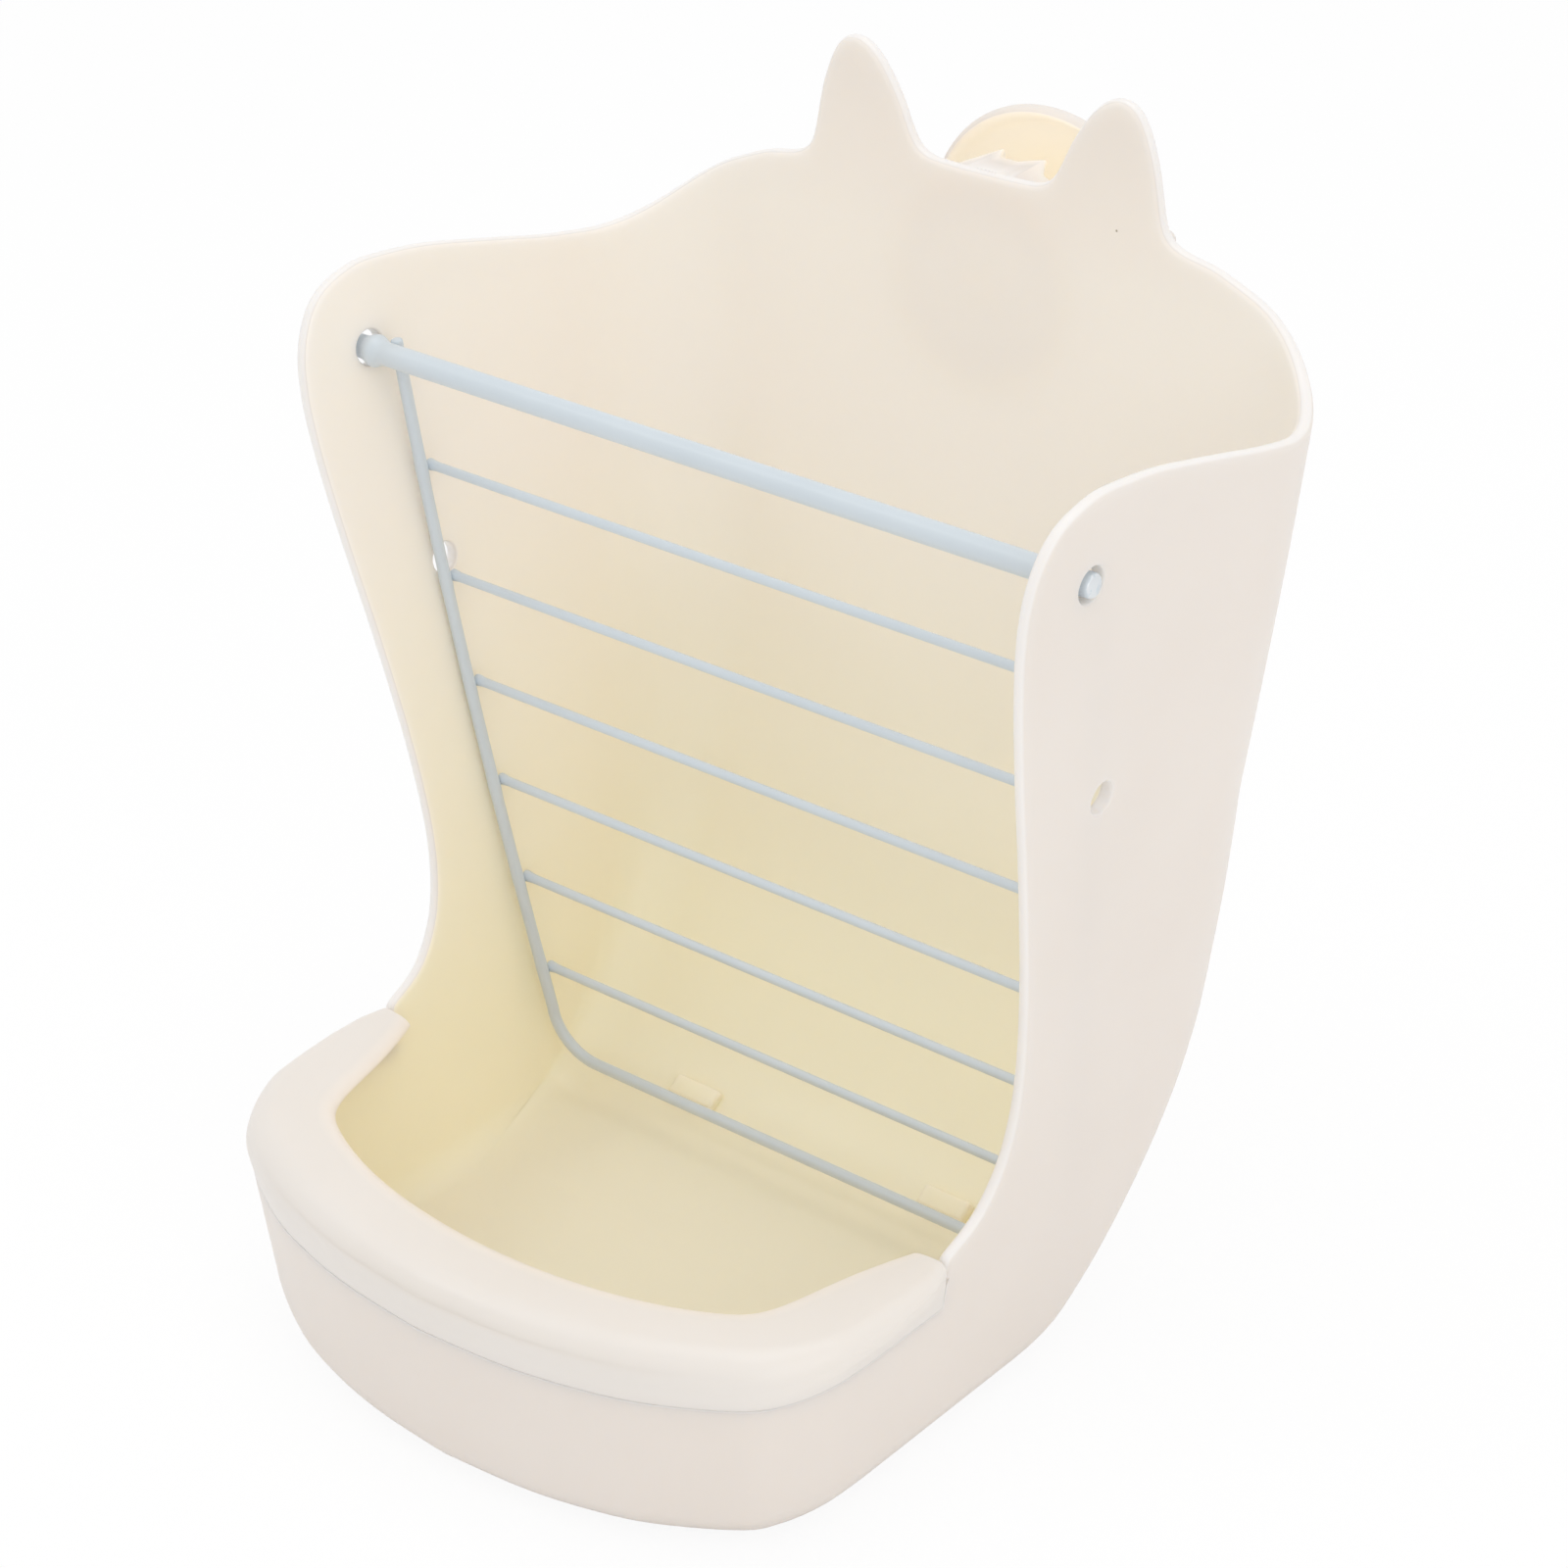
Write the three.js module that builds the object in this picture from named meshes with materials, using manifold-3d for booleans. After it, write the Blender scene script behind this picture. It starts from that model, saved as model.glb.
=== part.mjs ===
import * as THREE from 'three';
import Module from 'manifold-3d';
import { mergeVertices } from 'three/addons/utils/BufferGeometryUtils.js';

const kernel = await Module();
kernel.setup();

// Driving sizes, in millimetres. Heights are above the base, depths are behind the swing rod.
// The width is at the rod, and the drops are below the tips of the ears.
const boxWidth = 180;
const earHeight = 233;
const rodDrop = 51;
const clampDrop = 44.8;
const shoulderDrop = 33.4;
const backDrop = 21.4;
const wallThickness = 3;
const baseFillet = 9.2;
const earReach = 43.2;
const backReach = 88;
const frontReach = 90.4;
const sideReach = 18;
const cornerRadius = 28;
const bowlPlanHeight = 38;
const overCut = 12;
const cutInside = 7;
const cutOutside = 4;

const pivotHoleDiameter = 7;
const spareHoleDiameter = 6.4;
const spareHoleBack = 10.8;
const spareHoleDrop = 48.8;

const padPlace = 34;
const padBack = 27;
const padWidth = 12;
const padLength = 5;
const padRise = 2.2;

const crownOuterRadius = 23.7;
const crownInnerRadius = 18.2;
const crownValley = 7.6;
const crownToothDepth = 5;
const studMajorRadius = 8;
const studMinorRadius = 6.7;
const studLength = 33;
const threadPitch = 5;
const threadRun = 26;

const guardTop = 45.6;
const guardLeg = 10.6;
const guardSkin = 1.9;
const guardProud = 0.1;
const guardSwell = 2.4;
const guardRollIn = 5.5;
const guardRollDown = 7;
const guardRimGap = 2.2;
const guardWidthFront = 18.3;
const guardWidthEnd = 8;
const guardEnd = -24.3;
const fitGap = 0.3;

const rodDiameter = 4.8;
const rodProud = 0.7;
const rodChamfer = 0.5;
const frameDiameter = 2.5;
const crossDiameter = 2;
const weldGap = 0.12;
const frameTopReach = 1.5;
const frameTopGap = 3.8;
const frameMidGap = 1.9;
const frameLowGap = 4.7;
const frameFloorGap = 16;
const frameBend = 11;

const nutRadius = 30.2;
const nutGap = 19.4;
const nutBack = 13;
const nutBoreRadius = 8.4;
const nutGripHeight = 8;
const nutGripWidth = 9;
const nutGripLength = 42;

// Angles in degrees, slopes and counts.
const grilleTilt = 5;
const sideDraftShare = 0.109;
const frontDraftShare = 0.055;
const cornerSteps = 9;
const edgeSteps = 2;
const holeSides = 24;
const wireSides = 12;
const legPieces = 8;
const bendPieces = 6;
const rollPieces = 5;
const crownTeeth = 14;
const threadSteps = 20;
const nutSides = 60;

// Heights and widths that follow from the driving sizes.
const rodHeight = earHeight - rodDrop;
const clampHeight = earHeight - clampDrop;
const shoulderHeight = earHeight - shoulderDrop;
const backHeight = earHeight - backDrop;
const halfWidthAtRod = boxWidth / 2;
const frameDrop = rodHeight - frameFloorGap;

// Cross wires and the narrowing of the frame: shares of the frame's drop.
const crossShares = [0.1645, 0.3163, 0.4633, 0.6048, 0.7464, 0.8807];
const frameMidShare = 0.47;
// Back of the outside at the middle: share of the ear height, and share of the back reach.
const backShares = [
  [0, -0.068], [0.01, 0.108], [0.037, 0.295], [0.101, 0.507], [0.203, 0.702], [0.323, 0.814],
  [0.435, 0.877], [0.65, 0.95], [0.828, 0.989], [1.021, 1.016],
];
// Upright back corners: share of the ear height, and share of the corner radius.
const cornerShares = [[0, 0.375], [0.086, 0.51], [0.258, 0.66], [0.36, 0.84], [0.472, 1], [1.021, 0.964]];
// Front of the bowl in plan: share of the half width, and share of the front reach.
const bowlShares = [
  [0, 1], [0.27, 0.982], [0.48, 0.947], [0.664, 0.895], [0.877, 0.794], [0.947, 0.72], [0.989, 0.62], [1, 0.5],
];
// Front edge of the side walls, from the bowl up: shares of the side reach and the shoulder height.
const sideEdgeShares = [
  [-1.31, 0.229], [-0.95, 0.242], [-0.678, 0.26], [-0.389, 0.305], [-0.261, 0.379], [-0.339, 0.488],
  [-0.556, 0.617], [-0.789, 0.732], [-0.95, 0.826], [-1, 0.894], [-0.905, 0.944], [-0.594, 0.983],
  [-0.05, 0.999], [0.278, 0.999],
];
// Top edge round the side and the back corner: shares of the back reach, run along the wall, and height.
const topEdgeShares = [
  [0.056, 0.999], [0.216, 0.989], [0.45, 0.963], [0.614, 0.944], [0.773, 0.933], [0.909, 0.946],
  [1.08, 0.987], [1.159, 1.004], [1.284, 1.025],
];
// Top edge along the back with one ear: share of the ear reach from the middle, and of the ear's rise.
const earShares = [
  [1.136, -0.28], [1.059, -0.225], [1.016, -0.136], [0.995, 0.019], [0.945, 0.505], [0.859, 0.897],
  [0.741, 1], [0.614, 0.855], [0.495, 0.523], [0.407, 0.159], [0.34, 0.03], [0.182, 0.003], [0, 0],
];
// One tooth of the clamp ring: share of the tooth pitch, and share of the tooth depth.
const toothShares = [[0, 0], [0.2, 0], [0.5, 1], [0.8, 0]];
// Thread ridge in section: share of the ridge height, and share of the thread pitch.
const threadShares = [[-0.5, -0.36], [1, -0.12], [1, 0.12], [-0.5, 0.36]];
// Rim guard from its ends to the front: share of the way, and share of the full swell or the full roll.
const guardSwellShares = [[0, 0.03], [0.08, 0.75], [0.2, 1], [0.45, 0.9], [0.65, 0.3], [0.85, 0], [1, 0]];
const guardRollShares = [[0, 0.27], [0.1, 0.36], [0.25, 0.44], [0.45, 0.55], [0.7, 0.85], [1, 1]];
// Inner lip of the rim guard: shares of its skin outward from the lip and down from the top.
const guardLipShares = [[0.8, 0.02], [0.4, 0.14], [0.1, 0.4], [0, 0.7], [0.1, 0.95], [0.35, 1]];
const guardWidthShare = 0.4;
// Dish and back of the nut in section: share of its radius, and share of its depth.
const nutShares = [
  [0.377, 0.25], [0.377, 0.6], [0.6, 0.56], [0.76, 0.44], [0.87, 0.26], [0.93, 0.06], [0.965, 0],
  [1, 0.06], [1, 0.17], [0.94, 0.32], [0.84, 0.52], [0.7, 0.72], [0.55, 0.88], [0.36, 1],
];

const backProfile = smoothed(sized(backShares, earHeight, backReach));
const cornerProfile = sized(cornerShares, earHeight, cornerRadius);
const bowlPlan = smoothed(sized(bowlShares, 1, frontReach));
const sideEdge = smoothed(sized(sideEdgeShares, sideReach, shoulderHeight));
const topEdge = smoothed(sized(topEdgeShares, backReach, shoulderHeight));
const earRise = sized(earShares, earReach, earHeight - backHeight);
const earEdge = smoothed(earRise.map(([x, rise]) => [x, backHeight + rise]));

const ivory = new THREE.MeshStandardMaterial({ name: 'ivory_plastic', color: 0xeee6de, roughness: 0.4 });
const coated = { name: 'pale_blue_coating', color: 0xc8d7de, roughness: 0.35 };
const paleBlue = new THREE.MeshStandardMaterial(coated);

// Table of shares turned into sizes.
function sized(shares, first, second) {
  return shares.map(([a, b]) => [a * first, b * second]);
}

// Table of places with more points between them, on a curve through them all.
function smoothed(places) {
  const curve = new THREE.SplineCurve(places.map(([a, b]) => new THREE.Vector2(a, b)));
  return curve.getPoints((places.length - 1) * edgeSteps).map((p) => [p.x, p.y]);
}

// Value of a profile at a place, by straight lines between its points.
function along(profile, place) {
  const last = profile.length - 1;
  if (place <= profile[0][0]) return profile[0][1];
  if (place >= profile[last][0]) return profile[last][1];
  const next = profile.findIndex(([at]) => at >= place);
  const [a0, v0] = profile[next - 1];
  const [a1, v1] = profile[next];
  return v0 + ((v1 - v0) * (place - a0)) / (a1 - a0);
}

// Solid through rings of points. Ends are closed with the flat outline given, or joined to each other.
function skin(rings, outline) {
  const count = rings[0].length;
  const points = rings.flat();
  const faces = [];
  const spans = outline ? rings.length - 1 : rings.length;
  for (let i = 0; i < spans; i += 1) {
    const lower = i * count;
    const upper = ((i + 1) % rings.length) * count;
    for (let j = 0; j < count; j += 1) {
      const k = (j + 1) % count;
      faces.push(lower + j, lower + k, upper + k, lower + j, upper + k, upper + j);
    }
  }
  if (outline) {
    const top = (rings.length - 1) * count;
    for (const [a, b, c] of THREE.ShapeUtils.triangulateShape(outline, [])) {
      faces.push(a, c, b, top + a, top + b, top + c);
    }
  }
  return toBody(points, faces);
}

// Turns points and faces into a body, facing outward.
function toBody(points, faces) {
  const build = (triangles) => new kernel.Manifold(new kernel.Mesh({
    numProp: 3,
    vertProperties: new Float32Array(points.flatMap((p) => [p.x, p.y, p.z])),
    triVerts: new Uint32Array(triangles),
  }));
  let signed = 0;
  for (let i = 0; i < faces.length; i += 3) {
    const [a, b, c] = [points[faces[i]], points[faces[i + 1]], points[faces[i + 2]]];
    signed += a.dot(b.clone().cross(c));
  }
  return build(signed > 0 ? faces : faces.slice().reverse());
}

// Turns a plain geometry into a body.
function fromGeometry(geometry) {
  geometry.deleteAttribute('normal');
  geometry.deleteAttribute('uv');
  const merged = mergeVertices(geometry);
  const place = merged.getAttribute('position');
  const points = [];
  for (let i = 0; i < place.count; i += 1) points.push(new THREE.Vector3().fromBufferAttribute(place, i));
  const faces = [];
  const index = Array.from(merged.index.array);
  for (let i = 0; i < index.length; i += 3) {
    const [a, b, c] = index.slice(i, i + 3);
    if (a !== b && b !== c && a !== c) faces.push(a, b, c);
  }
  return toBody(points, faces);
}

// Turns a body into a named mesh.
function toMesh(name, body, material) {
  const made = body.getMesh();
  const geometry = new THREE.BufferGeometry();
  geometry.setAttribute('position', new THREE.BufferAttribute(new Float32Array(made.vertProperties), 3));
  geometry.setIndex(new THREE.BufferAttribute(new Uint32Array(made.triVerts), 1));
  geometry.computeVertexNormals();
  const mesh = new THREE.Mesh(geometry, material);
  mesh.name = name;
  return mesh;
}

// Half width of the outside at a height, before the base fillet.
function halfWidth(height) {
  return halfWidthAtRod + sideDraftShare * (height - rodHeight);
}

// How far the base fillet draws the walls in at a height.
function filletInset(height, radius) {
  if (height >= radius) return 0;
  return radius - Math.sqrt(radius * radius - (radius - height) * (radius - height));
}

// Half plan outline of the walls at a height, from the front middle to the back middle.
function halfPlan(height, back, inward, fillet, floor) {
  const inset = inward + filletInset(height - floor, fillet);
  const half = halfWidth(height);
  const drawn = frontDraftShare * Math.min(height - bowlPlanHeight, 0);
  const front = bowlPlan.map(([share, before]) => new THREE.Vector2(half * share, -(before + drawn)));
  const plan = front.map((at, i) => {
    const next = i + 1 < front.length ? front[i + 1] : new THREE.Vector2(at.x, 0);
    const run = i === 0 ? new THREE.Vector2(1, 0) : next.clone().sub(front[i - 1]).normalize();
    return new THREE.Vector2(at.x - run.y * inset, at.y + run.x * inset);
  });
  const side = half - inset;
  const corner = Math.max(along(cornerProfile, height) - inward, baseFillet / 2);
  for (let i = 0; i <= cornerSteps; i += 1) {
    const turn = (i / cornerSteps) * (Math.PI / 2);
    plan.push(new THREE.Vector2(
      side - corner + corner * Math.cos(turn),
      back - corner + corner * Math.sin(turn),
    ));
  }
  plan.push(new THREE.Vector2(0, back));
  return plan;
}

// Full ring of a half plan at a height.
function ringAt(plan, height) {
  const left = plan.slice(1, -1).reverse().map((p) => new THREE.Vector2(-p.x, p.y));
  return plan.concat(left).map((p) => new THREE.Vector3(p.x, p.y, height));
}

// Body of the walls filled solid.
function wallBody(profile, inward, fillet, floor) {
  const rings = profile.map(([height, back]) => {
    const plan = halfPlan(height, back, inward, fillet, floor);
    return ringAt(plan, height);
  });
  return skin(rings, rings[0].map((p) => new THREE.Vector2(p.x, p.y)));
}

// Back profile moved inward by the wall thickness.
function innerProfile() {
  const moved = backProfile.map(([height, back], i) => {
    const [h0, b0] = backProfile[Math.max(i - 1, 0)];
    const [h1, b1] = backProfile[Math.min(i + 1, backProfile.length - 1)];
    const run = i === 0 ? new THREE.Vector2(1, 0) : new THREE.Vector2(b1 - b0, h1 - h0).normalize();
    return [height + run.x * wallThickness, back - run.y * wallThickness];
  });
  const [topHeight, topBack] = moved[moved.length - 1];
  return moved.concat([[topHeight + overCut, topBack]]);
}

// Prism across the whole width from an outline in the side view.
function sidePrism(outline, reach) {
  const flat = outline.map(([back, height]) => new THREE.Vector2(back, height));
  const rings = [-reach, reach].map((x) => flat.map((p) => new THREE.Vector3(x, p.x, p.y)));
  return skin(rings, flat);
}

// Everything before the side walls and above the bowl.
function frontCutter() {
  const above = earHeight + 2 * overCut;
  const bowlTop = guardTop - guardSkin - guardRimGap;
  const before = -(frontReach + overCut);
  const last = sideEdge[sideEdge.length - 1];
  const outline = [
    [sideEdge[0][0], bowlTop], ...sideEdge, [last[0], above], [before, above], [before, bowlTop],
  ];
  return sidePrism(outline, halfWidthAtRod + overCut);
}

// Plan point of the wall and its outward direction, at a run behind the rod and a height.
function wallPlace(run, height) {
  const half = halfWidth(height);
  const back = along(backProfile, height);
  const corner = along(cornerProfile, height);
  const straight = back - corner;
  const arc = corner * (Math.PI / 2);
  if (run < straight) return [new THREE.Vector2(half, run), new THREE.Vector2(1, 0)];
  if (run < straight + arc) {
    const turn = (run - straight) / corner;
    const out = new THREE.Vector2(Math.cos(turn), Math.sin(turn));
    return [new THREE.Vector2(half - corner, straight).addScaledVector(out, corner), out];
  }
  return [new THREE.Vector2(half - corner - (run - straight - arc), back), new THREE.Vector2(0, 1)];
}

// Bar of square section along a path, through rings of its four corners.
function bar(rings) {
  const square = [[0, 0], [1, 0], [1, 1], [0, 1]].map(([u, v]) => new THREE.Vector2(u, v));
  return skin(rings, square);
}

// Everything above the top edge of the walls and the ears.
function topCutter() {
  const above = earHeight + overCut;
  const side = topEdge.map(([run, height]) => [...wallPlace(run, height), height]);
  const rear = earEdge.map(([x, height]) => [
    new THREE.Vector2(x, along(backProfile, height)), new THREE.Vector2(0, 1), height,
  ]);
  const half = side.concat(rear);
  const mirrored = half.slice(0, -1).reverse().map(([at, out, height]) => [
    new THREE.Vector2(-at.x, at.y), new THREE.Vector2(-out.x, out.y), height,
  ]);
  return bar(half.concat(mirrored).map(([at, out, height]) => {
    const lean = sideDraftShare * (above - height);
    const place = (shift, z) => new THREE.Vector3(at.x + out.x * shift, at.y + out.y * shift, z);
    return [
      place(-cutInside, height), place(cutOutside, height),
      place(cutOutside + lean, above), place(lean - cutInside, above),
    ];
  }));
}

// Rebate round the top of the bowl, where the leg of the rim guard sits.
function guardRebate() {
  const low = guardTop - guardLeg - fitGap;
  const high = guardTop + overCut;
  const deep = guardSkin - guardProud + fitGap;
  return bar(guardPath().map(([at, out]) => {
    const place = (shift, z) => new THREE.Vector3(at.x + out.x * shift, at.y + out.y * shift, z);
    return [
      place(-deep, low), place(overCut, low),
      place(overCut, high), place(sideDraftShare * (high - low) - deep, high),
    ];
  }));
}

// Places round the bowl from the left end of the rim guard to the right, with outward directions.
function guardPath() {
  const half = halfWidth(bowlPlanHeight);
  const plan = bowlPlan.map(([share, before]) => new THREE.Vector2(half * share, -before));
  const [, lastBefore] = bowlPlan[bowlPlan.length - 1];
  const sidePieces = 3;
  for (let i = 1; i <= sidePieces; i += 1) {
    plan.push(new THREE.Vector2(half, -lastBefore + ((guardEnd + lastBefore) * i) / sidePieces));
  }
  const left = plan.slice(1).reverse().map((p) => new THREE.Vector2(-p.x, p.y));
  const whole = left.concat(plan);
  return whole.map((at, i) => {
    const run = whole[Math.min(i + 1, whole.length - 1)].clone().sub(whole[Math.max(i - 1, 0)]).normalize();
    return [at, new THREE.Vector2(run.y, -run.x)];
  });
}

// Short round bar along X through both side walls.
function crossHole(diameter, back, height) {
  const length = 2 * halfWidthAtRod + 2 * overCut;
  const drill = new THREE.CylinderGeometry(diameter / 2, diameter / 2, length, holeSides);
  drill.rotateZ(Math.PI / 2);
  drill.translate(0, back, height);
  return fromGeometry(drill);
}

// Low pad on the slope behind the lowest wire, where the grille stops when it is pushed back.
function floorPad(across) {
  const slope = innerProfile().map(([height, back]) => [back, height]);
  const rise = (side) => along(slope, padBack + (side * padLength) / 2);
  const block = new THREE.BoxGeometry(padWidth, padLength, 2 * padRise);
  block.rotateX(Math.atan2(rise(1) - rise(-1), padLength));
  block.translate(across, padBack, (rise(1) + rise(-1)) / 2);
  return fromGeometry(block);
}

// Toothed ring on the back wall. Its root follows the slope of the wall.
function clampCrown() {
  const wall = along(backProfile, clampHeight);
  const rings = [];
  for (let i = 0; i < crownTeeth; i += 1) {
    for (const [turnShare, riseShare] of toothShares) {
      const turn = ((i + turnShare) * 2 * Math.PI) / crownTeeth;
      const front = wall + crownValley + riseShare * crownToothDepth;
      const place = (radius, y) => new THREE.Vector3(
        radius * Math.sin(turn), y, clampHeight + radius * Math.cos(turn),
      );
      const behind = (radius) => along(backProfile, clampHeight + radius * Math.cos(turn));
      rings.push([
        place(crownInnerRadius, behind(crownInnerRadius) - wallThickness / 2),
        place(crownOuterRadius, behind(crownOuterRadius) - wallThickness / 2),
        place(crownOuterRadius, front), place(crownInnerRadius, front),
      ]);
    }
  }
  return skin(rings, null);
}

// Stud on the back wall, with a right-hand thread.
function clampStud() {
  const wall = along(backProfile, clampHeight);
  const length = studLength + wallThickness / 2;
  const core = new THREE.CylinderGeometry(studMinorRadius, studMinorRadius, length, 2 * threadSteps);
  core.translate(0, wall + studLength - length / 2, clampHeight);
  const end = wall + studLength - threadPitch / 2;
  const total = Math.round((threadRun / threadPitch) * threadSteps);
  const rings = [];
  for (let i = 0; i <= total; i += 1) {
    const turn = (-i * 2 * Math.PI) / threadSteps;
    const middle = end - (i * threadPitch) / threadSteps;
    rings.push(threadShares.map(([rise, shift]) => {
      const radius = studMinorRadius + rise * (studMajorRadius - studMinorRadius);
      return new THREE.Vector3(
        radius * Math.sin(turn), middle + shift * threadPitch, clampHeight + radius * Math.cos(turn),
      );
    }));
  }
  return fromGeometry(core).add(skin(rings, threadShares.map(([u, v]) => new THREE.Vector2(u, v))));
}

// Moulded body: walls, ears, bowl, pads, toothed ring and stud.
function feederShell() {
  const inner = wallBody(innerProfile(), wallThickness, baseFillet - wallThickness, wallThickness);
  const outer = wallBody(backProfile, 0, baseFillet, 0);
  const pads = floorPad(-padPlace).add(floorPad(padPlace)).intersect(outer);
  return outer
    .subtract(inner)
    .subtract(frontCutter())
    .subtract(topCutter())
    .subtract(guardRebate())
    .subtract(crossHole(pivotHoleDiameter, 0, rodHeight))
    .subtract(crossHole(spareHoleDiameter, spareHoleBack, rodHeight - spareHoleDrop))
    .add(pads)
    .add(clampCrown())
    .add(clampStud());
}

// Channel-shaped guard over the rim of the bowl.
function rimGuard() {
  const reach = frontReach + guardEnd;
  const rings = guardPath().map(([at, out]) => {
    const way = Math.min(Math.max((guardEnd - at.y) / reach, 0), 1);
    const width = guardWidthEnd + (guardWidthFront - guardWidthEnd) * way ** guardWidthShare;
    return guardSection(width, way).map((p) => new THREE.Vector3(at.x + out.x * p.x, at.y + out.y * p.x, p.y));
  });
  return skin(rings, guardSection(guardWidthEnd, 0));
}

// Outline of the rim guard: outward distance from the bowl, and height. It lies flush with the bowl at its foot.
function guardSection(width, way) {
  const low = guardTop - guardLeg;
  const under = guardTop - guardSkin;
  const legTop = under - guardRimGap + fitGap;
  const legIn = guardProud - guardSkin;
  const legTopIn = legIn + sideDraftShare * (legTop - low);
  const lean = sideDraftShare * (1 - way) + frontDraftShare * way;
  const rollShare = along(guardRollShares, way);
  const [rollIn, rollDown] = [guardRollIn * rollShare, guardRollDown * rollShare];
  const rollLow = guardTop - rollDown;
  const reach = guardProud + lean * (rollLow - bowlPlanHeight) + guardSwell * along(guardSwellShares, way);
  const outline = [[guardProud + lean * (low - bowlPlanHeight), low]];
  for (let i = 0; i <= rollPieces; i += 1) {
    const turn = (i / rollPieces) * (Math.PI / 2);
    outline.push([reach - rollIn * (1 - Math.cos(turn)), rollLow + rollDown * Math.sin(turn)]);
  }
  for (const [out, down] of guardLipShares) {
    outline.push([guardProud - width + out * guardSkin, guardTop - down * guardSkin]);
  }
  outline.push([legTopIn - guardRimGap, under], [legTopIn, legTop], [legIn, low]);
  return outline.map(([out, height]) => new THREE.Vector2(out, height));
}

// Place in the grille: x across, distance down from the rod, distance behind the rod's plane.
function grillePoint(x, down, behind) {
  const tilt = THREE.MathUtils.degToRad(grilleTilt);
  const plane = rodDiameter / 2 + frameDiameter / 2 + weldGap + behind;
  return new THREE.Vector3(
    x,
    down * Math.sin(tilt) + plane * Math.cos(tilt),
    rodHeight - down * Math.cos(tilt) + plane * Math.sin(tilt),
  );
}

// Round wire along places in the grille, given as x and distance down.
function grilleWire(path, diameter, behind) {
  const rings = path.map((at, i) => {
    const run = path[Math.min(i + 1, path.length - 1)].clone().sub(path[Math.max(i - 1, 0)]).normalize();
    const ring = [];
    for (let j = 0; j < wireSides; j += 1) {
      const turn = ((j + 0.5) * 2 * Math.PI) / wireSides;
      const flat = (diameter / 2) * Math.cos(turn);
      const deep = (diameter / 2) * Math.sin(turn);
      ring.push(grillePoint(at.x + run.y * flat, at.y - run.x * flat, behind + deep));
    }
    return ring;
  });
  const circle = [];
  for (let j = 0; j < wireSides; j += 1) {
    const turn = ((j + 0.5) * 2 * Math.PI) / wireSides;
    circle.push(new THREE.Vector2(Math.cos(turn), Math.sin(turn)));
  }
  return skin(rings, circle);
}

// Centre distance of a frame leg from the middle, at a distance down from the rod.
function legX(down) {
  const inside = (drop) => halfWidth(rodHeight - drop) - wallThickness;
  const midDrop = frameDrop * frameMidShare;
  const top = inside(0) - frameTopGap;
  const middle = inside(midDrop) - frameMidGap;
  const low = inside(frameDrop) - frameLowGap;
  const curve = new THREE.QuadraticBezierCurve(
    new THREE.Vector2(top, 0),
    new THREE.Vector2(2 * middle - (top + low) / 2, midDrop),
    new THREE.Vector2(low, frameDrop),
  );
  const samples = curve.getPoints(holeSides).map((p) => [p.y, p.x]);
  return along(samples, down);
}

// Thick bar the grille swings on, through the upper holes.
function grilleRod() {
  const half = halfWidthAtRod + rodProud;
  const radius = rodDiameter / 2;
  const outline = [
    [0, -half], [radius - rodChamfer, -half], [radius, -half + rodChamfer],
    [radius, half - rodChamfer], [radius - rodChamfer, half], [0, half],
  ].map(([r, y]) => new THREE.Vector2(r, y));
  const rod = new THREE.LatheGeometry(outline, holeSides);
  rod.rotateZ(Math.PI / 2);
  rod.translate(0, 0, rodHeight);
  return fromGeometry(rod);
}

// U-shaped wire round the grille, hanging behind the bar.
function grilleFrame() {
  const half = [new THREE.Vector2(0, frameDrop)];
  const straight = frameDrop - frameBend;
  const corner = legX(straight);
  for (let i = 0; i <= bendPieces; i += 1) {
    const turn = (i / bendPieces) * (Math.PI / 2);
    half.push(new THREE.Vector2(
      corner - frameBend + frameBend * Math.sin(turn),
      straight + frameBend * Math.cos(turn),
    ));
  }
  for (let i = 1; i <= legPieces; i += 1) {
    const down = straight - ((frameTopReach + straight) * i) / legPieces;
    half.push(new THREE.Vector2(legX(down), down));
  }
  const left = half.slice(1).reverse().map((p) => new THREE.Vector2(-p.x, p.y));
  return grilleWire(left.concat(half), frameDiameter, 0);
}

// Thin wire across the back of the frame.
function crossWire(down) {
  const reach = legX(down) + crossDiameter / 4;
  const path = [new THREE.Vector2(-reach, down), new THREE.Vector2(reach, down)];
  return grilleWire(path, crossDiameter, frameDiameter / 2 + crossDiameter / 2 + weldGap);
}

// Large dished nut that clamps the feeder to a cage, with a grip bar across its back.
function clampNut() {
  const section = sized(nutShares, nutRadius, nutBack);
  const [, hubFront] = section[0];
  const bored = [[nutBoreRadius, hubFront], ...section, [nutBoreRadius, nutBack], [nutBoreRadius, hubFront]];
  const outline = bored.map(([radius, y]) => new THREE.Vector2(radius, y));
  const disc = new THREE.LatheGeometry(outline, nutSides);
  const grip = new THREE.BoxGeometry(nutGripLength, nutGripHeight, nutGripWidth);
  grip.translate(0, nutBack, 0);
  const bore = new THREE.CylinderGeometry(nutBoreRadius, nutBoreRadius, 4 * nutBack, nutSides);
  const body = fromGeometry(disc).add(fromGeometry(grip)).subtract(fromGeometry(bore));
  return body.translate([0, along(backProfile, clampHeight) + nutGap, clampHeight]);
}

const group = new THREE.Group();
group.add(toMesh('feeder_shell', feederShell(), ivory));
group.add(toMesh('bowl_rim_guard', rimGuard(), ivory));
group.add(toMesh('grille_rod', grilleRod(), paleBlue));
group.add(toMesh('grille_frame', grilleFrame(), paleBlue));
crossShares.forEach((share, i) => {
  group.add(toMesh(`cross_wire_${i + 1}`, crossWire(frameDrop * share), paleBlue));
});
group.add(toMesh('clamp_nut', clampNut(), ivory));

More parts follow.
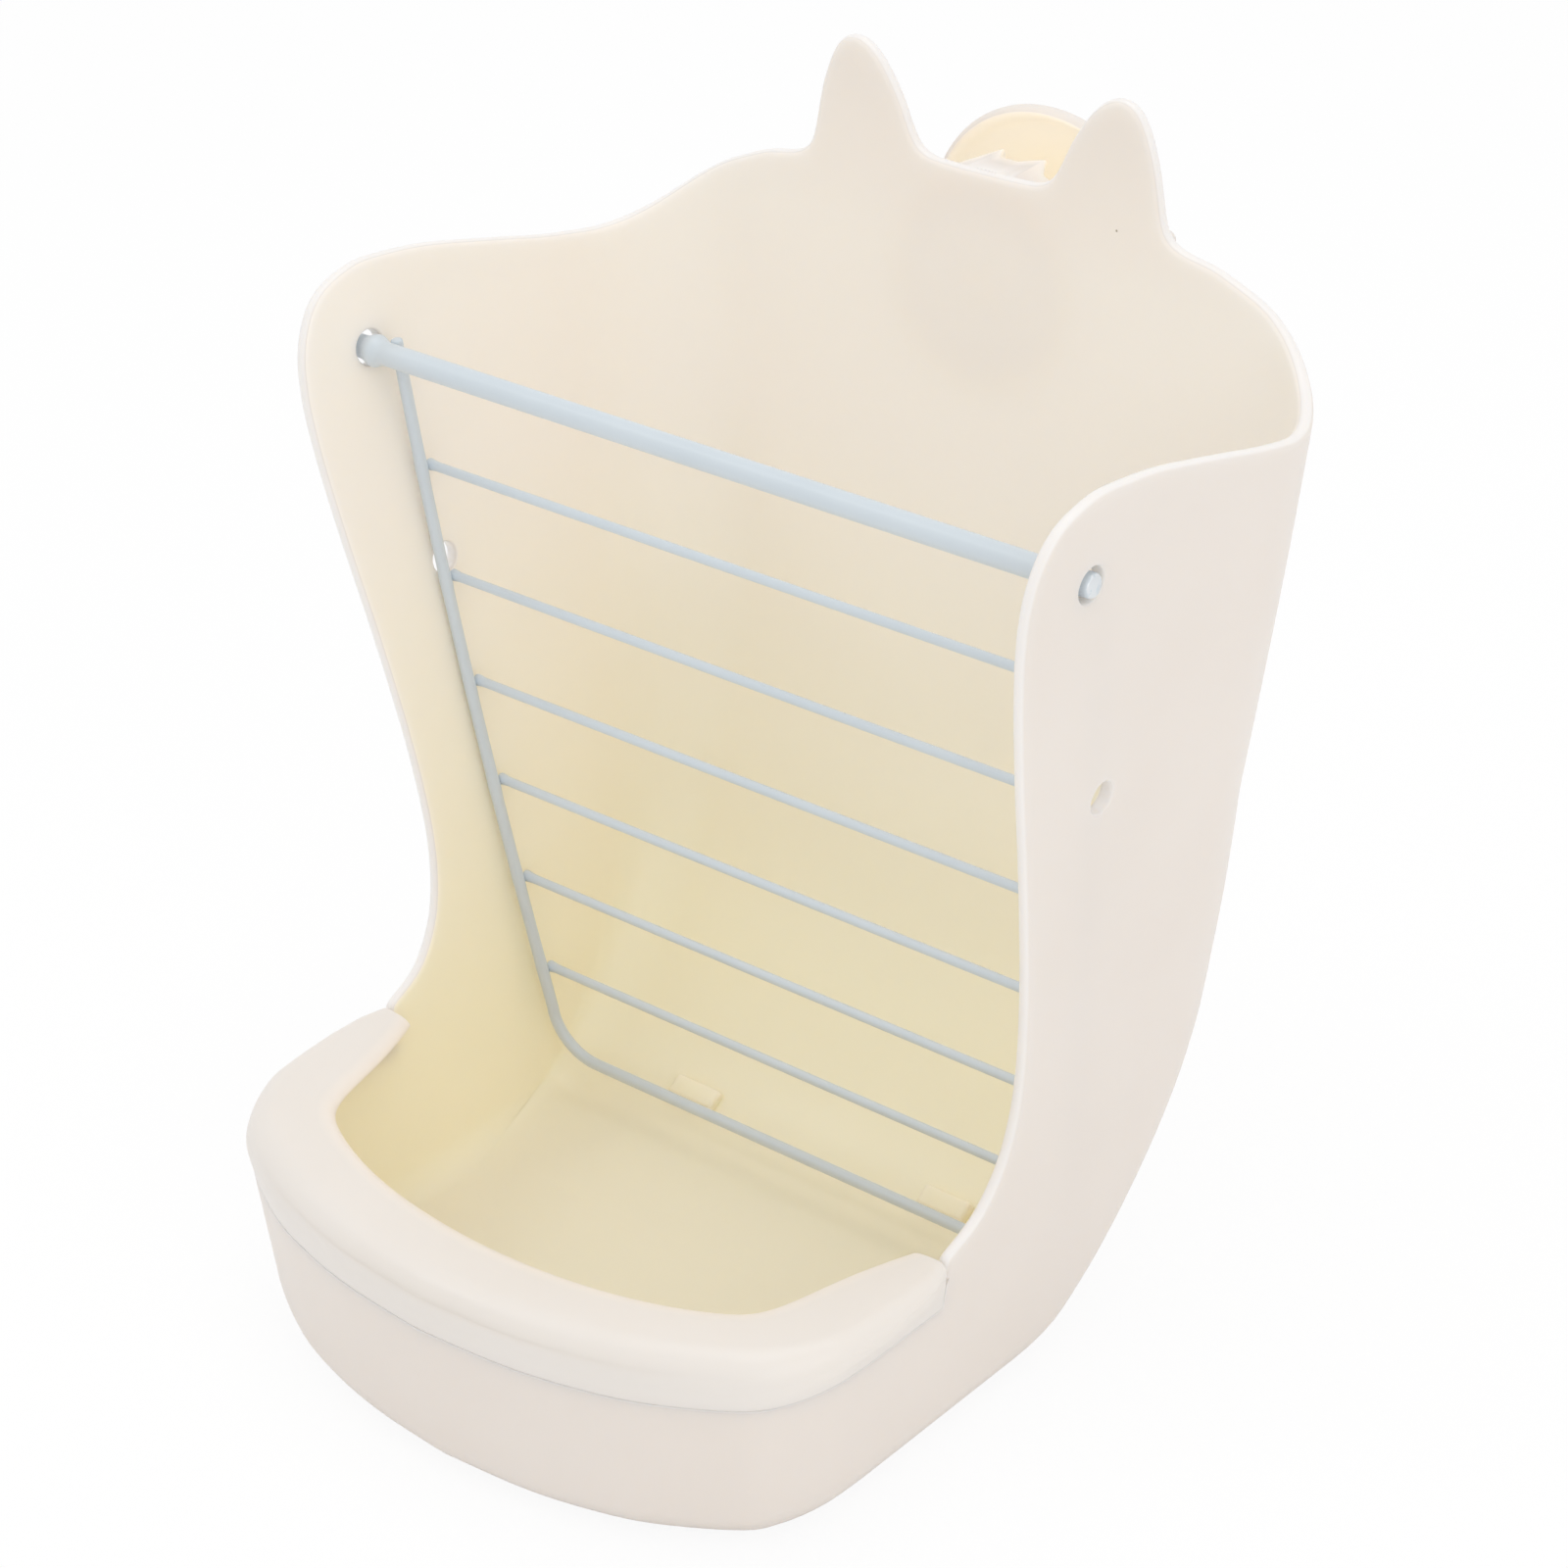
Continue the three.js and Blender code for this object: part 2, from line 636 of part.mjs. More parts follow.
// The origin is on the clamp's axis, at the tips of its teeth, where a cage's wires are held.
const clampDepth = along(backProfile, clampHeight) + crownValley + crownToothDepth;
for (const mesh of group.children) mesh.geometry.translate(0, -clampDepth, -clampHeight);

export default group;
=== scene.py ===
import math

import bmesh
import bpy
import numpy as np
from mathutils import Matrix, Vector
from mathutils.geometry import delaunay_2d_cdt
from mathutils.kdtree import KDTree


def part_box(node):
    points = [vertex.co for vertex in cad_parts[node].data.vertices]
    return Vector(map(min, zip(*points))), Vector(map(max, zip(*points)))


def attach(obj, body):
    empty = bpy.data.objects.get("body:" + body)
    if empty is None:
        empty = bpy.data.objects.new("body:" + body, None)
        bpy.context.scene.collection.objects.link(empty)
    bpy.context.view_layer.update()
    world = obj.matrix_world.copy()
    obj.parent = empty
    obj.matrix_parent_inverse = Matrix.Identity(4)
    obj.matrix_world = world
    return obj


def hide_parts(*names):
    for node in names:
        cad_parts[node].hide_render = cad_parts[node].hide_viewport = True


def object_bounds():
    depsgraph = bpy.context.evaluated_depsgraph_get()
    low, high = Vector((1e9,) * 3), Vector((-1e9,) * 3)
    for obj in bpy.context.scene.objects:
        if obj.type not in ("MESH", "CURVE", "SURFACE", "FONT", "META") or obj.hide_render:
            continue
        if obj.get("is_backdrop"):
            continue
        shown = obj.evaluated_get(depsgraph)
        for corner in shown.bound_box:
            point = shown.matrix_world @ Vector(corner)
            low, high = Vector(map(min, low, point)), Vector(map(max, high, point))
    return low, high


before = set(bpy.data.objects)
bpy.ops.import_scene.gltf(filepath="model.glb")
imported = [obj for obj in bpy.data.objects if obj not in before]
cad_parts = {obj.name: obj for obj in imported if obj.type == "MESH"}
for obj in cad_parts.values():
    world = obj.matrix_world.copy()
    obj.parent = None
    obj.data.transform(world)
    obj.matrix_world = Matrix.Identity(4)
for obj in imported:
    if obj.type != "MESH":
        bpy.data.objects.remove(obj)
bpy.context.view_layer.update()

# Moulded box
# One injection moulding in ivory polypropylene: side walls, back wall with two ears, bowl and base.
# The 3 mm wall follows one tapering plan, and its free edge is fully rounded by the mould.
rod_low, rod_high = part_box("grille_rod")
shell_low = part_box("feeder_shell")[0]

# Sizes are in millimetres, with heights from the base and depths from the swing rod.
HOME = np.array([0, (rod_low.y + rod_high.y) / 2, shell_low.z])
MM = 0.001
WALL = 3.0
ROD_HEIGHT = 182.0
HALF_WIDTH = 90.0
SIDE_DRAFT = 0.109
FRONT_DRAFT = 0.055
BOWL_HEIGHT = 38.0
BASE_FILLET = 9.2
CORNER_RADIUS = 28.0
EAR_HEIGHT = 233.0
BACK_HEIGHT = 211.6
SHOULDER_HEIGHT = 199.6
EAR_REACH = 43.2
BACK_REACH = 88.0
FRONT_REACH = 90.4
SIDE_REACH = 18.0
RIM_HEIGHT = 41.5
MESH_STEP = 2.6

# Outlines as shares of two of these sizes. Back wall: height, and reach behind the rod.
BACK_SHARES = (
    (0, -0.068), (0.01, 0.108), (0.037, 0.295), (0.101, 0.507), (0.203, 0.702), (0.323, 0.814),
    (0.435, 0.877), (0.65, 0.95), (0.828, 0.989), (1.021, 1.016),
)
# Corner between the side and back walls: height, and radius.
CORNER_SHARES = ((0, 0.375), (0.086, 0.51), (0.258, 0.66), (0.36, 0.84), (0.472, 1), (1.021, 0.964))
# Bowl: place across from the middle, and reach in front of the rod.
BOWL_SHARES = (
    (0, 1), (0.27, 0.982), (0.48, 0.947), (0.664, 0.895), (0.877, 0.794), (0.947, 0.72), (0.989, 0.62),
    (1, 0.5),
)
# Free edge of the side wall: depth behind the rod, and height.
SIDE_EDGE_SHARES = (
    (-1.31, 0.229), (-0.95, 0.242), (-0.678, 0.26), (-0.389, 0.305), (-0.261, 0.379), (-0.339, 0.488),
    (-0.556, 0.617), (-0.789, 0.732), (-0.95, 0.826), (-1, 0.894), (-0.905, 0.944), (-0.594, 0.983),
    (-0.05, 0.999), (0.278, 0.999),
)
# Free edge from there to the ear: distance round the wall behind the rod, and height.
TOP_EDGE_SHARES = (
    (0.056, 0.999), (0.216, 0.989), (0.45, 0.963), (0.614, 0.944), (0.773, 0.933), (0.909, 0.946),
    (1.08, 0.987), (1.159, 1.004), (1.284, 1.025),
)
# Ear, as far as the middle of the back wall: place across, and rise above the back wall.
EAR_SHARES = (
    (1.136, -0.28), (1.059, -0.225), (1.016, -0.136), (0.995, 0.019), (0.945, 0.505), (0.859, 0.897),
    (0.741, 1), (0.614, 0.855), (0.495, 0.523), (0.407, 0.159), (0.34, 0.03), (0.182, 0.003), (0, 0),
)


def sized(shares, first, second):
    """Points of an outline from shares of two sizes."""
    return np.array(shares, float) * (first, second)


def read_off(table, at):
    """Value at a place, from a table of places and values."""
    return np.interp(at, *np.transpose(table))


def unit(vectors):
    return vectors / np.linalg.norm(vectors, axis=-1, keepdims=True)


def flowing(points, steps=10):
    """Curve through all the points, with steps pieces between each pair."""
    p = np.array(points, float)
    padded = np.vstack([p[:1], p, p[-1:]])
    rows = []
    for a, b, c, d in zip(padded, padded[1:], padded[2:], padded[3:]):
        for t in np.arange(steps) / steps:
            v0, v1 = (c - a) / 2, (d - b) / 2
            rows.append((2 * b - 2 * c + v0 + v1) * t**3 + (3 * c - 3 * b - 2 * v0 - v1) * t**2 + v0 * t + b)
    return np.vstack([rows, p[-1:]])


def even(points, step):
    """The same line with points at even steps along it."""
    p = np.array(points, float)
    run = np.concatenate([[0], np.cumsum(np.linalg.norm(np.diff(p, axis=0), axis=1))])
    at = np.linspace(0, run[-1], max(2, round(run[-1] / step)) + 1)
    return np.column_stack([np.interp(at, run, p[:, i]) for i in range(p.shape[1])])


def eased(line, times):
    """The same line with its bends eased, and its ends kept."""
    line = line.copy()
    for _ in range(times):
        line[1:-1] = (line[:-2] + 2 * line[1:-1] + line[2:]) / 4
    return line


def full_turn(count):
    """Angles at even steps once round a circle."""
    return np.linspace(0, 2 * math.pi, count, endpoint=False)


# A place on the wall is a run round its plan, from the middle of the front, and a height.
# The run has four stretches: front, side, corner and back, each about as long as it really is.
FRONT_RUN, SIDE_RUN, CORNER_RUN, BACK_RUN = 92.0, 104.0, 43.0, 64.0
SIDE_START = FRONT_RUN
CORNER_START = SIDE_START + SIDE_RUN
BACK_START = CORNER_START + CORNER_RUN
WHOLE_RUN = BACK_START + BACK_RUN
BOWL_WIDTH_SHARE = 0.83
back_line = flowing(sized(BACK_SHARES, EAR_HEIGHT, BACK_REACH))
corner_line = sized(CORNER_SHARES, EAR_HEIGHT, CORNER_RADIUS)
bowl_line = flowing(sized(BOWL_SHARES, 1, FRONT_REACH))
bowl_end = bowl_line[-1, 1]
bowl_run = np.linalg.norm(np.diff(bowl_line * (HALF_WIDTH * BOWL_WIDTH_SHARE, 1), axis=0), axis=1)
bowl_run = np.concatenate([[0], np.cumsum(bowl_run) * FRONT_RUN / bowl_run.sum()])
bowl_turn = np.gradient(bowl_line, axis=0)
bowl_turn[0, 1] = 0
bowl_turn[-1, 0] = 0


def half_width(height):
    return HALF_WIDTH + SIDE_DRAFT * (height - ROD_HEIGHT)


def back_at(height):
    return read_off(back_line, height)


def corner_at(height):
    return read_off(corner_line, height)


def drawn_at(height):
    """Change of the bowl's reach at a height, from the draft below its rim."""
    return FRONT_DRAFT * np.minimum(np.asarray(height, float) - BOWL_HEIGHT, 0)


def wall_point(run, height):
    """Place on the outside of the right half, from its run and its height."""
    run, height = np.broadcast_arrays(np.asarray(run, float), np.asarray(height, float))
    half = half_width(height)
    low = np.clip(BASE_FILLET - height, 0, BASE_FILLET)
    inset = BASE_FILLET - np.sqrt(BASE_FILLET**2 - low**2)
    drawn = drawn_at(height)
    share = np.interp(run, bowl_run, bowl_line[:, 0])
    before = np.interp(run, bowl_run, bowl_line[:, 1])
    along_x = np.interp(run, bowl_run, bowl_turn[:, 0]) * half
    along_y = -np.interp(run, bowl_run, bowl_turn[:, 1])
    size = np.hypot(along_x, along_y)
    x_front = half * share - along_y / size * inset
    y_front = -(before + drawn) + along_x / size * inset
    back = back_at(height)
    corner = np.maximum(corner_at(height), BASE_FILLET / 2)
    side = half - inset
    start = -(bowl_end + drawn)
    y_side = start + (back - corner - start) * (run - SIDE_START) / SIDE_RUN
    turn = (run - CORNER_START) / CORNER_RUN * (math.pi / 2)
    x_corner = side - corner + corner * np.cos(turn)
    y_corner = back - corner + corner * np.sin(turn)
    x_back = (side - corner) * (1 - (run - BACK_START) / BACK_RUN)
    stretches = [run < SIDE_START, run < CORNER_START, run < BACK_START]
    x = np.select(stretches, [x_front, side, x_corner], x_back)
    y = np.select(stretches, [y_front, y_side, y_corner], back)
    return np.stack([x, y, height], axis=-1)


def wall_normal(run, height):
    """Outward direction of the wall."""
    step = 0.02
    run = np.clip(run, step, WHOLE_RUN - step)
    height = np.maximum(height, step)
    across = wall_point(run + step, height) - wall_point(run - step, height)
    up = wall_point(run, height + step) - wall_point(run, height - step)
    return unit(np.cross(across, up))


def side_run(depth, height):
    """Run of a place on the side wall, from its depth behind the rod."""
    start = -(bowl_end + drawn_at(height))
    straight = back_at(height) - corner_at(height)
    return SIDE_START + SIDE_RUN * (np.asarray(depth, float) - start) / (straight - start)


def arc_run(distance, height):
    """Run of a place on the top edge, from its distance round the wall behind the rod."""
    corner = corner_at(height)
    straight = back_at(height) - corner
    arc = corner * math.pi / 2
    past = distance - straight
    on_corner = CORNER_START + CORNER_RUN * past / arc
    on_back = BACK_START + BACK_RUN * (past - arc) / (half_width(height) - corner)
    return np.select([past < 0, past < arc], [side_run(distance, height), on_corner], on_back)


def ear_run(across, height):
    """Run of a place on the back wall, from its place across."""
    flat = half_width(height) - corner_at(height)
    return WHOLE_RUN - BACK_RUN * across / flat


# Rows of the wall by height: close together round the base fillet, then nearly even.
GROWING_ROWS = (10.2, 11.4, 13, 15, 17.2, 19.6, 22.2, 25, 28)
EVEN_ROWS = range(31, 241, 3)
LEAST_ROW = 1.6
fillet_rows = [BASE_FILLET * (1 - math.cos(math.radians(a))) for a in range(0, 91, 9)]
row_heights = np.array([*fillet_rows, *GROWING_ROWS, *EVEN_ROWS], float)
row_places = np.concatenate([[0], np.cumsum(np.maximum(np.diff(row_heights), LEAST_ROW))])


def row_of(height):
    return np.interp(height, row_heights, row_places)


def height_of(row):
    return np.interp(row, row_places, row_heights)


# Free edge of the right half, from the middle of the bowl's rim to the middle of the back wall.
# It is drawn in by half the wall, which the rounding of the edge then adds again.
side_edge = flowing(sized(SIDE_EDGE_SHARES, SIDE_REACH, SHOULDER_HEIGHT))
top_edge = flowing(sized(TOP_EDGE_SHARES, BACK_REACH, SHOULDER_HEIGHT))
ear_edge = flowing(sized(EAR_SHARES, EAR_REACH, EAR_HEIGHT - BACK_HEIGHT) + (0, BACK_HEIGHT))
rim_run = float(side_run(side_edge[0, 0], RIM_HEIGHT))
edge = np.vstack([
    [(0, row_of(RIM_HEIGHT)), (rim_run, row_of(RIM_HEIGHT))],
    np.column_stack([side_run(side_edge[:, 0], side_edge[:, 1]), row_of(side_edge[:, 1])]),
    np.column_stack([arc_run(top_edge[1:, 0], top_edge[1:, 1]), row_of(top_edge[1:, 1])]),
    np.column_stack([ear_run(ear_edge[:, 0], ear_edge[:, 1]), row_of(ear_edge[:, 1])]),
])
edge = eased(even(edge, MESH_STEP / 2), 3)
flow = unit(np.gradient(edge, axis=0))
drawn_edge = edge + np.column_stack([flow[:, 1], -flow[:, 0]]) * (WALL / 2)
drawn_edge[0, 0] = 0
drawn_edge[-1, 0] = WHOLE_RUN


def inside_of(loop, points):
    """True for each point inside the closed loop."""
    x, y = points[:, 0], points[:, 1]
    inside = np.zeros(len(points), bool)
    for (x0, y0), (x1, y1) in zip(loop, np.roll(loop, -1, axis=0)):
        if y0 != y1:
            inside ^= ((y0 > y) != (y1 > y)) & (x < (x1 - x0) * (y - y0) / (y1 - y0) + x0)
    return inside


def gap_to(line, points):
    """Distance of each point from a line of close points."""
    return np.array([np.min(np.hypot(*(line - p).T)) for p in points])


# Two round holes in each side wall, rounded at their edges: one for the rod, and a spare one below.
HOLE_LIP, HOLE_AROUND = 0.45, 40
ROD_HOLE_RADIUS, SPARE_HOLE_RADIUS = 3.5, 3.2
SPARE_HOLE_DEPTH, SPARE_HOLE_DROP = 10.8, 48.8


def wall_hole(depth, height, radius):
    """Edge of a hole on the outside, by run and row, where its lip starts."""
    turns = full_turn(HOLE_AROUND)
    reach = radius + HOLE_LIP
    at = height + reach * np.sin(turns)
    return np.column_stack([side_run(depth + reach * np.cos(turns), at), row_of(at)])


holes = [
    wall_hole(0, ROD_HEIGHT, ROD_HOLE_RADIUS),
    wall_hole(SPARE_HOLE_DEPTH, ROD_HEIGHT - SPARE_HOLE_DROP, SPARE_HOLE_RADIUS),
]

# Low step round the bowl's rim that takes the rim guard, with a fine bevel at its seam.
# STEP_BEVEL gives the distance past the seam, and how far the outside stands back there.
STEP_HEIGHT, STEP_DEPTH, STEP_END = 34.96, 1.95, -24.26
STEP_BEVEL = ((-0.4, 0), (-0.25, 0.01), (-0.1, 0.04), (0, 0.12), (0.03, STEP_DEPTH))
rim_row = row_of(RIM_HEIGHT - WALL / 2)
seams = []
for shift, _ in STEP_BEVEL:
    low = row_of(STEP_HEIGHT + shift)
    end = float(side_run(STEP_END - shift, STEP_HEIGHT))
    seams.append(even([(0, low), (end, low)], MESH_STEP))
    seams.append(even([(end, low), (end, rim_row)], MESH_STEP))

# The right half is meshed flat, by run and row, with grid points kept clear of the drawn lines.
LINE_STEP, LINE_CLEAR, HOLE_CLEAR = 0.5, MESH_STEP * 0.45, 1.2
SAME_PLACE, ON_MIDDLE = 1e-5, 1e-4
border = np.vstack([
    drawn_edge,
    even([(WHOLE_RUN, drawn_edge[-1, 1]), (WHOLE_RUN, 0)], MESH_STEP)[1:],
    even([(WHOLE_RUN, 0), (0, 0)], MESH_STEP)[1:],
    even([(0, 0), (0, drawn_edge[0, 1])], MESH_STEP)[1:-1],
])
runs = np.linspace(0, WHOLE_RUN, round(WHOLE_RUN / MESH_STEP) + 1)[1:-1]
grid = np.array([(a, b) for b in row_places[1:] for a in runs])
grid = grid[inside_of(border, grid)]
near = np.vstack([even(line, LINE_STEP) for line in (border, *seams[:2])])
grid = grid[gap_to(near, grid) > LINE_CLEAR]
for hole in holes:
    grid = grid[gap_to(np.vstack([hole, hole.mean(axis=0)]), grid) > HOLE_CLEAR]
    grid = grid[~inside_of(hole, grid)]

flat_points, flat_edges = [], []
for line, closed in [(border, True), *[(hole, True) for hole in holes], *[(seam, False) for seam in seams]]:
    first = len(flat_points)
    flat_points += [Vector(p) for p in line]
    flat_edges += [(first + i, first + i + 1) for i in range(len(line) - 1)]
    if closed:
        flat_edges.append((first + len(line) - 1, first))
flat_points += [Vector(p) for p in grid]
made = delaunay_2d_cdt(flat_points, flat_edges, [], 0, SAME_PLACE)
flat = np.array([tuple(v) for v in made[0]])
faces = np.array([tuple(f) for f in made[2]])
middle = flat[faces].mean(axis=1)
keep = inside_of(border, middle)
for hole in holes:
    keep &= ~inside_of(hole, middle)
faces = faces[keep]
used = np.unique(faces)
renumber = np.full(len(flat), -1)
renumber[used] = np.arange(len(used))
flat, faces = flat[used], renumber[faces]

# Then it is laid round the plan, as an outer and an inner skin.
heights = height_of(flat[:, 1])
outside = wall_point(flat[:, 0], heights)
out = wall_normal(flat[:, 0], heights)
on_middle = (flat[:, 0] < ON_MIDDLE) | (flat[:, 0] > WHOLE_RUN - ON_MIDDLE)
out[on_middle, 0] = 0
out = unit(out)
inside = outside - out * WALL
seam_run = side_run(STEP_END, STEP_HEIGHT)
run_per_mm = side_run(STEP_END + 1, STEP_HEIGHT) - seam_run
past_seam = np.minimum(heights - STEP_HEIGHT, (seam_run - flat[:, 0]) / run_per_mm)
outside = outside - out * read_off(STEP_BEVEL, past_seam)[:, None]
for side in (outside, inside):
    side[on_middle, 0] = 0


def mirrored(points, faces, on_middle):
    """Both halves as one surface, joined on the middle."""
    other = np.arange(len(points))
    other[~on_middle] = len(points) + np.arange((~on_middle).sum())
    whole = np.vstack([points, points[~on_middle] * (-1, 1, 1)])
    return whole, np.vstack([faces, other[faces][:, ::-1]])


outer, outer_faces = mirrored(outside, faces, on_middle)
inner, _ = mirrored(inside, faces, on_middle)
away, _ = mirrored(out, faces, on_middle)
a, b, c = (outer[outer_faces[:, i]] for i in range(3))
if np.sum(np.cross(b - a, c - a) * away[outer_faces[:, 0]]) < 0:
    outer_faces = outer_faces[:, ::-1]

wall = bmesh.new()
count = len(outer)
verts = [wall.verts.new(p) for p in np.vstack([outer, inner])]
for a, b, c in outer_faces:
    wall.faces.new([verts[a], verts[b], verts[c]])
    wall.faces.new([verts[count + c], verts[count + b], verts[count + a]])


def free_loops(faces):
    """Closed lines of edges that only one face has, in the order of its corners."""
    pairs = np.vstack([faces[:, [i, (i + 1) % 3]] for i in range(3)])
    known = set(map(tuple, pairs))
    follow = {a: b for a, b in map(tuple, pairs) if (b, a) not in known}
    loops = []
    while follow:
        start, at = next(iter(follow.items()))
        line = [start]
        del follow[start]
        while at != start:
            line.append(at)
            at = follow.pop(at)
        loops.append(line)
    return loops


def steps_round(count):
    """Each place round a closed ring, with the next one."""
    return [(i, (i + 1) % count) for i in range(count)]


# The base and the floor above it: rings that shrink towards the middle, and a fan in the last one.
FLOOR_MIDDLE, FLOOR_RINGS = (0, -46), (0.93, 0.8, 0.6, 0.4, 0.2)


def fill_level(ring, facing_up):
    """Closes a level ring of corners."""
    rest = np.array([v.co for v in ring])
    centre = np.array([*FLOOR_MIDDLE, rest[:, 2].mean()])
    order = -1 if facing_up else 1
    for share in FLOOR_RINGS:
        smaller = [wall.verts.new(centre + (p - centre) * share) for p in rest]
        for i, j in steps_round(len(ring)):
            wall.faces.new([ring[j], ring[i], smaller[i], smaller[j]][::order])
        ring = smaller
    tip = wall.verts.new(centre)
    for i, j in steps_round(len(ring)):
        wall.faces.new([ring[j], ring[i], tip][::order])


# Roundings from the outer skin to the inner one, as shares of the wall and of the rounding's height.
# The wall's free edge is half round, and a hole has a flat wall between two rounded lips.
HOLE_ROUNDING = ((0.06, 0.6), (0.16, 0.9), (0.3, 1), (0.7, 1), (0.84, 0.9), (0.94, 0.6))
EDGE_ROUNDING = [((1 - math.cos(t)) / 2, math.sin(t)) for t in np.radians(np.arange(18, 180, 18))]


def round_over(line):
    """Closes the gap between the skins along a free loop."""
    points, behind = outer[line], inner[line]
    if len(line) == HOLE_AROUND:
        rounding, rise = HOLE_ROUNDING, np.full(len(line), HOLE_LIP)
    else:
        rounding, rise = EDGE_ROUNDING, np.linalg.norm(points - behind, axis=1) / 2
    along = np.roll(points, -1, axis=0) - np.roll(points, 1, axis=0)
    proud = unit(np.cross(along, away[line]))
    rings = [[verts[i] for i in line]]
    for share, height in rounding:
        place = points * (1 - share) + behind * share + proud * (rise * height)[:, None]
        rings.append([wall.verts.new(p) for p in place])
    rings.append([verts[count + i] for i in line])
    for low, high in zip(rings, rings[1:]):
        for i, j in steps_round(len(line)):
            wall.faces.new([low[j], low[i], high[i], high[j]])


ON_BASE = 0.01
for line in free_loops(outer_faces):
    if outer[line][:, 2].max() < ON_BASE:
        fill_level([verts[i] for i in line], facing_up=False)
        fill_level([verts[count + i] for i in line], facing_up=True)
    else:
        round_over(line)

SMOOTH_UP_TO = 32


def shaded(mesh, smooth):
    """Smooth shading over edges up to an angle in degrees."""
    mesh.shade_smooth()
    mesh.set_sharp_from_angle(angle=math.radians(smooth))


def finished(name, body, smooth=SMOOTH_UP_TO):
    """Object in the shared frame, from a mesh in millimetres from the rod's middle above the base."""
    bmesh.ops.scale(body, vec=(MM,) * 3, verts=body.verts)
    bmesh.ops.translate(body, vec=HOME, verts=body.verts)
    mesh = bpy.data.meshes.new(name)
    body.to_mesh(mesh)
    body.free()
    shaded(mesh, smooth)
    piece = bpy.data.objects.new(name, mesh)
    bpy.context.scene.collection.objects.link(piece)
    return piece


def combined(piece, parts, operation="UNION"):
    """Piece with the parts joined to it, or cut out of it, as one solid."""
    for part in parts:
        step = piece.modifiers.new("solid", "BOOLEAN")
        step.operation, step.object, step.solver = operation, part, "EXACT"
    shape = piece.evaluated_get(bpy.context.evaluated_depsgraph_get())
    mesh = bpy.data.meshes.new_from_object(shape)
    piece.modifiers.clear()
    piece.data = mesh
    shaded(mesh, SMOOTH_UP_TO)
    for part in parts:
        bpy.data.objects.remove(part)
    return piece


def rounded_block(size, centre, radius, segments=4):
    """Block with rounded edges, in millimetres."""
    body = bmesh.new()
    bmesh.ops.create_cube(body, size=1)
    bmesh.ops.scale(body, vec=size, verts=body.verts)
    bmesh.ops.bevel(body, geom=body.edges[:], offset=radius, segments=segments, profile=0.5, affect="EDGES")
    bmesh.ops.translate(body, vec=centre, verts=body.verts)
    return body


def skinned(rings, closed=False):
    """Body through rings of points. An open run of rings ends in flat caps."""
    body = bmesh.new()
    rows = [[body.verts.new(p) for p in ring] for ring in rings]
    pairs = steps_round(len(rows)) if closed else steps_round(len(rows))[:-1]
    for low, high in pairs:
        for j, k in steps_round(len(rows[0])):
            body.faces.new([rows[low][j], rows[low][k], rows[high][k], rows[high][j]])
    if not closed:
        body.faces.new(rows[0][::-1])
        body.faces.new(rows[-1])
    bmesh.ops.recalc_face_normals(body, faces=body.faces)
    return body


# Two low pads on the slope behind the lowest wire, where the grille stops when it is pushed back.
PAD_PLACE, PAD_BACK, PAD_SIZE, PAD_BEVEL = 34.0, 27.0, (12.0, 5.0, 4.4), 1.0
SLOPE_LOW, SLOPE_HIGH = 4, 40
slope_heights = np.linspace(SLOPE_LOW, SLOPE_HIGH, 200)
slope = wall_point(WHOLE_RUN, slope_heights) - wall_normal(WHOLE_RUN, slope_heights) * WALL
pad_ends = np.interp([PAD_BACK - PAD_SIZE[1] / 2, PAD_BACK + PAD_SIZE[1] / 2], slope[:, 1], slope[:, 2])
pad_turn = Matrix.Rotation(math.atan2(pad_ends[1] - pad_ends[0], PAD_SIZE[1]), 3, "X")
pads = []
for side in (-1, 1):
    block = rounded_block(PAD_SIZE, (0, 0, 0), PAD_BEVEL)
    bmesh.ops.rotate(block, cent=(0, 0, 0), matrix=pad_turn, verts=block.verts)
    bmesh.ops.translate(block, vec=(side * PAD_PLACE, PAD_BACK, pad_ends.mean()), verts=block.verts)
    pads.append(finished("pad", block))

# Toothed ring on the back of the wall: its teeth bite between the cage's wires.
CLAMP_HEIGHT = 188.2
RING_INNER, RING_OUTER, RING_EASE, RING_FINE_EASE = 18.2, 23.7, 0.5, 0.15
TEETH, TOOTH_STEPS, TOOTH_DEPTH, RING_VALLEY = 14, 14, 5.0, 7.6
TOOTH_FLANK, TOOTH_TIP = 0.3, 0.94
clamp_wall = float(back_at(CLAMP_HEIGHT))


def round_clamp(radius, y, turn):
    """Place round the clamp's axis, with the turn from the top."""
    return radius * math.sin(turn), y, CLAMP_HEIGHT + radius * math.cos(turn)


rings = []
for i, turn in enumerate(full_turn(TEETH * TOOTH_STEPS)):
    share = (i % TOOTH_STEPS) / TOOTH_STEPS
    rise = max(0.0, 1 - abs(share - 0.5) / TOOTH_FLANK)
    rise = min(rise, TOOTH_TIP + (1 - TOOTH_TIP) * rise)
    front = clamp_wall + RING_VALLEY + rise * TOOTH_DEPTH
    corners = []
    for radius in (RING_INNER, RING_OUTER):
        root = float(back_at(CLAMP_HEIGHT + radius * math.cos(turn))) - WALL / 2
        corners.append((radius, root))
    corners += [
        (RING_OUTER, front - RING_EASE),
        (RING_OUTER - RING_FINE_EASE, front - RING_FINE_EASE),
        (RING_OUTER - RING_EASE, front),
        (RING_INNER + RING_EASE, front),
        (RING_INNER + RING_FINE_EASE, front - RING_FINE_EASE),
        (RING_INNER, front - RING_EASE),
    ]
    rings.append([round_clamp(radius, y, turn) for radius, y in corners])
toothed_ring = finished("toothed_ring", skinned(rings, closed=True))

